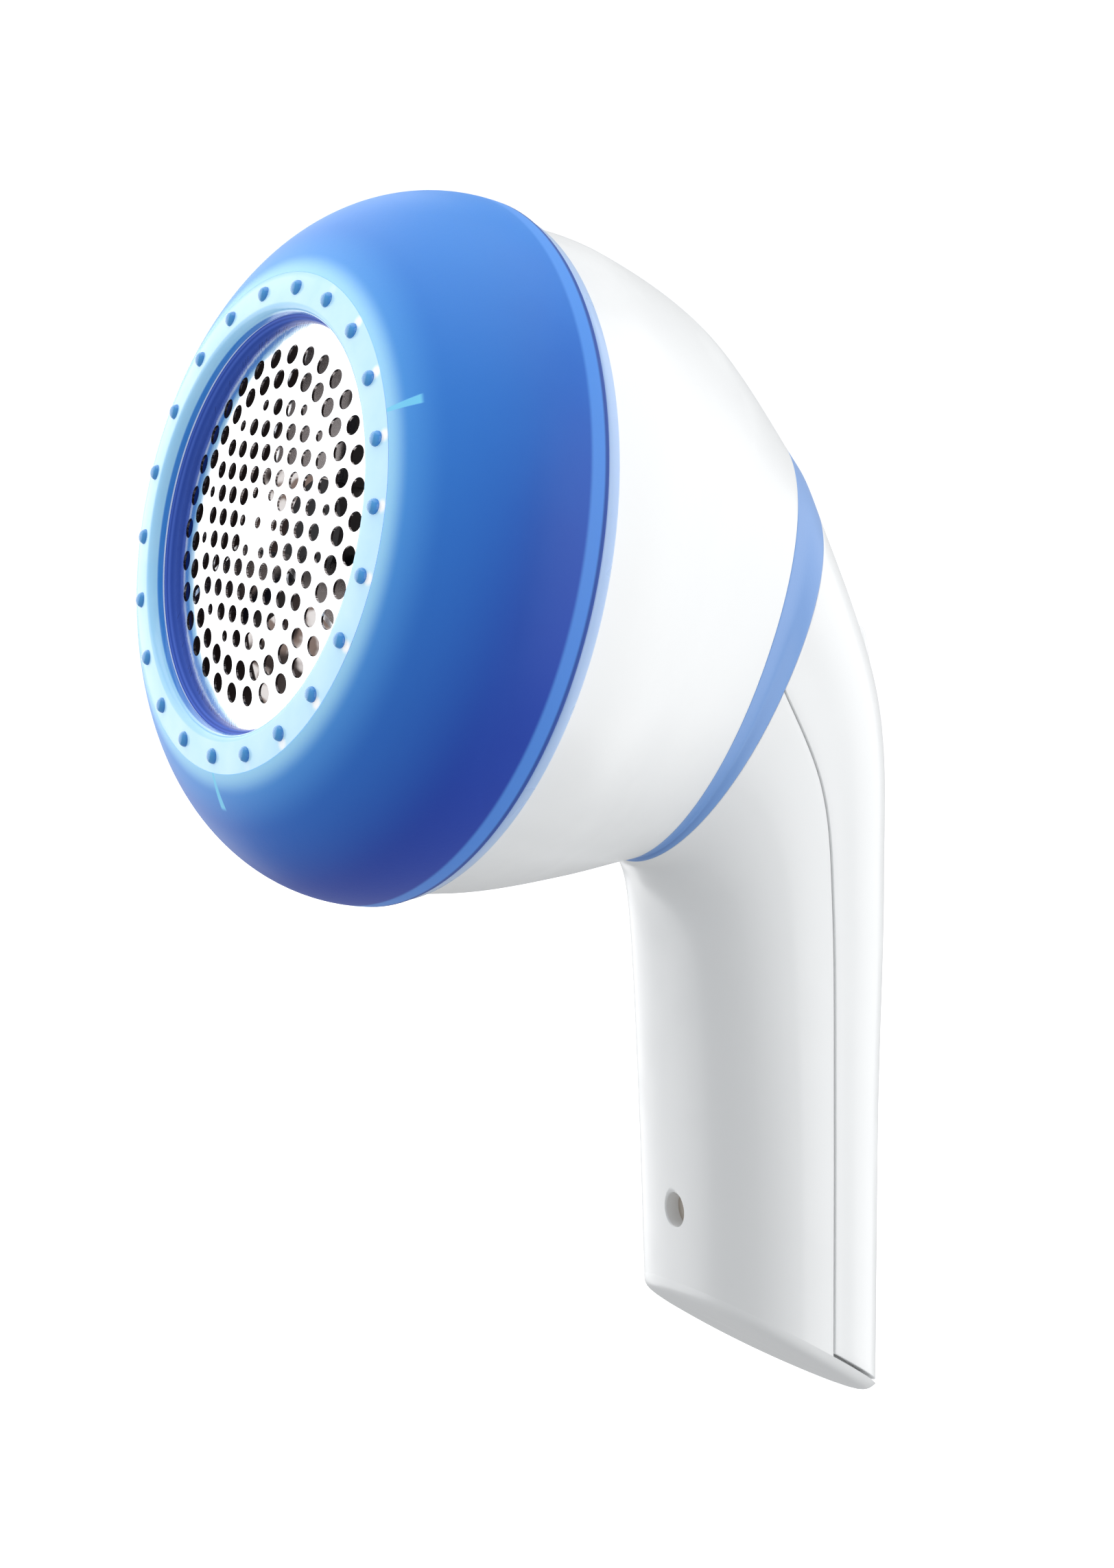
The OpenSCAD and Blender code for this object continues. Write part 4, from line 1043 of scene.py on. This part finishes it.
# %% Handle's front shell with the charging hole
JACK_S = 44.0
INLET_R = 2.1
front = outward(shell("handle_front", edge_rows(4, 8, 110, SEAM_SOFT, 0), half_round(90, 0.1, 96),
                      closed=False))
skin_t = min(((skin(7 + k / 200, 180).yz / MM - handle_at(JACK_S, 0)).length for k in range(200)))
lip = 0.3
flare = [(INLET_R + lip - math.sqrt(lip ** 2 - (lip - d) ** 2), skin_t + d)
         for d in [lip * k / 8 for k in range(9)]]
hole = [(INLET_R + lip + 1.2, skin_t - 1.5), (INLET_R + lip + 0.3, skin_t - 0.2)] + flare
hole.append((INLET_R, skin_t + 4))
charging_hole = in_handle(plug(hole), JACK_S, 0)
piece("handle_front", cut(front, charging_hole), "white_gloss", "body", ["handle_shell"])
print("charging hole starts", round(skin_t, 2), "mm back in the handle frame")

# %% Handle's rear shell, with the switch pocket and the screw wells
BOSS_SIDES = (7.2 - HANDLE_HALF_W, HANDLE_HALF_W - 7.2)
PAD = 9.0
TRAVEL = 4.0
GAP = 0.4
rear = outward(shell("handle_rear", edge_rows(4, 7.985, 110, SEAM_SOFT, 0.2),
                     half_round(-90, 0.1, 96), closed=False))
half_w, half_l = PAD / 2 + GAP, PAD / 2 + TRAVEL / 2 + GAP
pocket = on_spine(block("pocket", (-half_w, -1, -half_l), (half_w, 8, half_l), 0.9))
slot_hole = on_spine(block("slot", (-1.9, -6, -3.9), (1.9, 3, 3.9), 0.3))
wells = [in_handle(plug([(2.3, MID_T + 4.9), (2.3, MID_T + 16), (2.9, MID_T + 17)]), JACK_S, 0, x)
         for x in BOSS_SIDES]
bosses = [in_handle(turned("boss", [(1.2, MID_T + 0.3), (2.9, MID_T + 0.3), (2.9, MID_T + 8.1),
                                    (2.3, MID_T + 8.1), (2.3, MID_T + 4.9), (1.2, MID_T + 4.9)],
                           HOLE_AROUND), JACK_S, 0, x) for x in BOSS_SIDES]
rear_mesh = joined("handle_rear", cut(rear, pocket, slot_hole, *wells), *bosses)
piece("handle_rear", rear_mesh, "white_gloss", "body", ["rear_cover"])

# %% [markdown]
# ## The foot
# The foot closes the handle. Its rings step inwards while they sink less and less, which makes a
# soft edge that runs into a slightly domed end.

# %% Foot
def foot_mesh():
    sy, sz, by, bz, width, n = section(8)
    down = Vector((sz - bz, by - sy)).normalized()
    insets = [0, 0.06, 0.14, 0.25, 0.4, 0.6, 0.9, 1.3, 1.9, 2.7, 4, 6, 8.5, 11, 13]
    rings = [(7.88, WALL + 0.15, 0), (8.0, WALL + 0.15, 0)]
    rings += [(8.0, s, 1.1 * (1 - math.exp(-s / 0.45)) + 0.8 * (1 - math.exp(-s / 2.5))) for s in insets]
    points, faces = [], []
    for u, inset, sink in rings:
        shift = Vector((0, down.x, down.y)) * sink * MM
        points += [skin(u, 360 * j / AROUND, inset) + shift for j in range(AROUND)]
    for k in range(len(rings) - 1):
        for j in range(AROUND):
            m = (j + 1) % AROUND
            faces.append((k * AROUND + j, (k + 1) * AROUND + j, (k + 1) * AROUND + m, k * AROUND + m))
    top = list(range(AROUND))
    end = [(len(rings) - 1) * AROUND + j for j in top]
    return mesh_of("foot", points, faces + [top, end])


piece("foot", foot_mesh(), "white_gloss", "body", ["end_cap"], sharp=50)

# %% [markdown]
# ## The thumb switch
# The pad has low ribs so that a thumb doesn't slip. They are equal and evenly spaced, so Geometry
# Nodes put them there: a line of points, and one rounded bar on each.

# %% Thumb pad
REST = TRAVEL / 2


def thumb_ribs():
    g = Recipe("thumb_ribs", count=5, step=1.45 * MM, half_length=3.3 * MM, thick=0.32 * MM)
    index = g.add("GeometryNodeInputIndex")
    middle = (g.get("count") - 1.0) * 0.5
    line = g.add("GeometryNodePoints", None, {
        "Count": g.get("count"), "Position": g.cross(0.0, 0.0, (index - middle) * g.get("step"))})
    ball = g.add("GeometryNodeMeshUVSphere", None, {"Segments": 24, "Rings": 12, "Radius": 1.0})
    x, y, z = g.parts(g.add("GeometryNodeInputPosition"))
    side = g.maths("SIGN", x) * (g.get("half_length") - g.get("thick"))
    bar = g.add("GeometryNodeSetPosition", None, {"Geometry": ball, "Position": g.cross(
        x * g.get("thick") + side, y * g.get("thick"), z * g.get("thick"))})
    ribs = g.add("GeometryNodeInstanceOnPoints", None, {"Points": line, "Instance": bar})
    return g.finish(g.move(ribs, shift=(0, 0.9 * MM, 0)), "white_gloss")


pad = block("pad", (-PAD / 2, -0.9, -PAD / 2), (PAD / 2, 0.95, PAD / 2), 0.85, 6)
stem = block("stem", (-1.5, -5, -1.5), (1.5, 0, 1.5), 0.1, 2)
knob = on_spine(joined("thumb_pad", pad, stem, thumb_ribs()), REST)
piece("thumb_pad", knob, "white_gloss", "thumb_switch", ["switch_knob"], sharp=40)

# %% [markdown]
# ## Parts that keep their CAD shape
# Blades, motor, cells, wires and the rest already have the right form. They only need finishes, which
# come from the same table by the slot that the record gives each node. Only the charging jack gets a
# finish of its own, a warm grey with a faint glow, which is painted light so that the charging hole
# doesn't look dark inside.

# %% Finishes for the CAD nodes
SLOTS = {row["node"]: row["material_slot"] for row in frame["record"]["subparts"]}
for name, node in frame["nodes"].items():
    finish = FINISH["jack_grey" if name == "dc_socket" else SLOTS.get(name, "white_plastic")]
    if not node.material_slots:
        node.data.materials.append(finish)
    for place in node.material_slots:
        place.material = finish
print("CAD nodes with a finish:", len(frame["nodes"]))

# %% [markdown]
# ## Studio
# The floor and the air round the object are white. Large soft lights stand to its left, to its right
# and behind its back, and a fourth hangs above. None stands straight in front of the face, so that
# the white plastic turns grey where it faces the gap between the lights.

# %% Floor and surroundings
def floor():
    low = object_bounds()[0].z - 0.0002
    side = 6.0
    mesh = bpy.data.meshes.new("floor")
    mesh.from_pydata([(-side, -side, low), (side, -side, low), (side, side, low), (-side, side, low)],
                     [], [(0, 1, 2, 3)])
    f = Finish("floor_white")
    cloud = f.grain(0.4)
    mesh.materials.append(f.done(base_color=f.blend(cloud, (0.85, 0.85, 0.86), (0.9, 0.9, 0.9)),
                                 roughness=0.7, emission_color=(1, 1, 1), emission_strength=0.72))
    obj = placed("floor", mesh)
    obj.visible_diffuse = False
    obj.visible_glossy = False
    obj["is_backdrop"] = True


def surroundings(light, shown):
    world = bpy.data.worlds.new("studio_air")
    bpy.context.scene.world = world
    world.use_nodes = True
    world.node_tree.nodes.clear()
    w = Wiring(world.node_tree)
    seen = w.add("ShaderNodeLightPath", None, None, "Is Camera Ray")
    strength = light + (shown - light) * seen
    air = w.add("ShaderNodeBackground", None, {"Color": (0.97, 0.985, 1.0, 1.0), "Strength": strength})
    end = world.node_tree.nodes.new("ShaderNodeOutputWorld")
    world.node_tree.links.new(air.socket, end.inputs["Surface"])


floor()
surroundings(0.54, 1.1)

# %% Soft lights
MIDDLE = Vector((0.0, 0.035, -0.02))


def softbox(name, towards, distance, wide, high, glow):
    """Rectangular light that faces the object; glow is how bright its face looks."""
    light = bpy.data.lights.new(name, "AREA")
    light.shape = "RECTANGLE"
    light.size, light.size_y = wide, high
    light.energy = glow * math.pi * wide * high
    obj = placed(name, light)
    way = Vector(towards).normalized()
    obj.location = MIDDLE + way * distance
    obj.rotation_euler = way.to_track_quat("Z", "Y").to_euler()


softbox("left_wall", (-0.94, -0.36, 0.12), 0.9, 1.6, 1.5, 1.25)
softbox("right_wall", (0.93, 0.36, 0.15), 0.95, 0.8, 1.5, 1.5)
softbox("back_wall", (0.1, 0.97, 0.2), 0.9, 0.8, 1.4, 0.85)
softbox("overhead", (-0.1, -0.15, 1.0), 0.8, 0.9, 0.9, 1.2)

# %% [markdown]
# ## Camera
# A long lens far away keeps the proportions calm. The camera looks at the head from its front right
# and leans a little, so that the handle stands upright in the picture.

# %% Camera
LENS_MM = 118.84
CAMERA_AT = Vector((0.5220978, -0.2750391, -0.0041770))
camera_data = bpy.data.cameras.new("camera")
camera_data.lens = LENS_MM
camera_data.sensor_width = 36
camera_data.clip_start = 0.01
camera = placed("camera", camera_data)
right = Vector((0.5098804, 0.8414007, 0.1790725))
back = Vector((0.8517306, -0.5229904, 0.0321868))
up = back.cross(right)
turn = Matrix((right, up, back)).transposed().to_4x4()
camera.matrix_world = Matrix.Translation(CAMERA_AT) @ turn
bpy.context.scene.camera = camera
bpy.context.scene.view_settings.view_transform = "Standard"
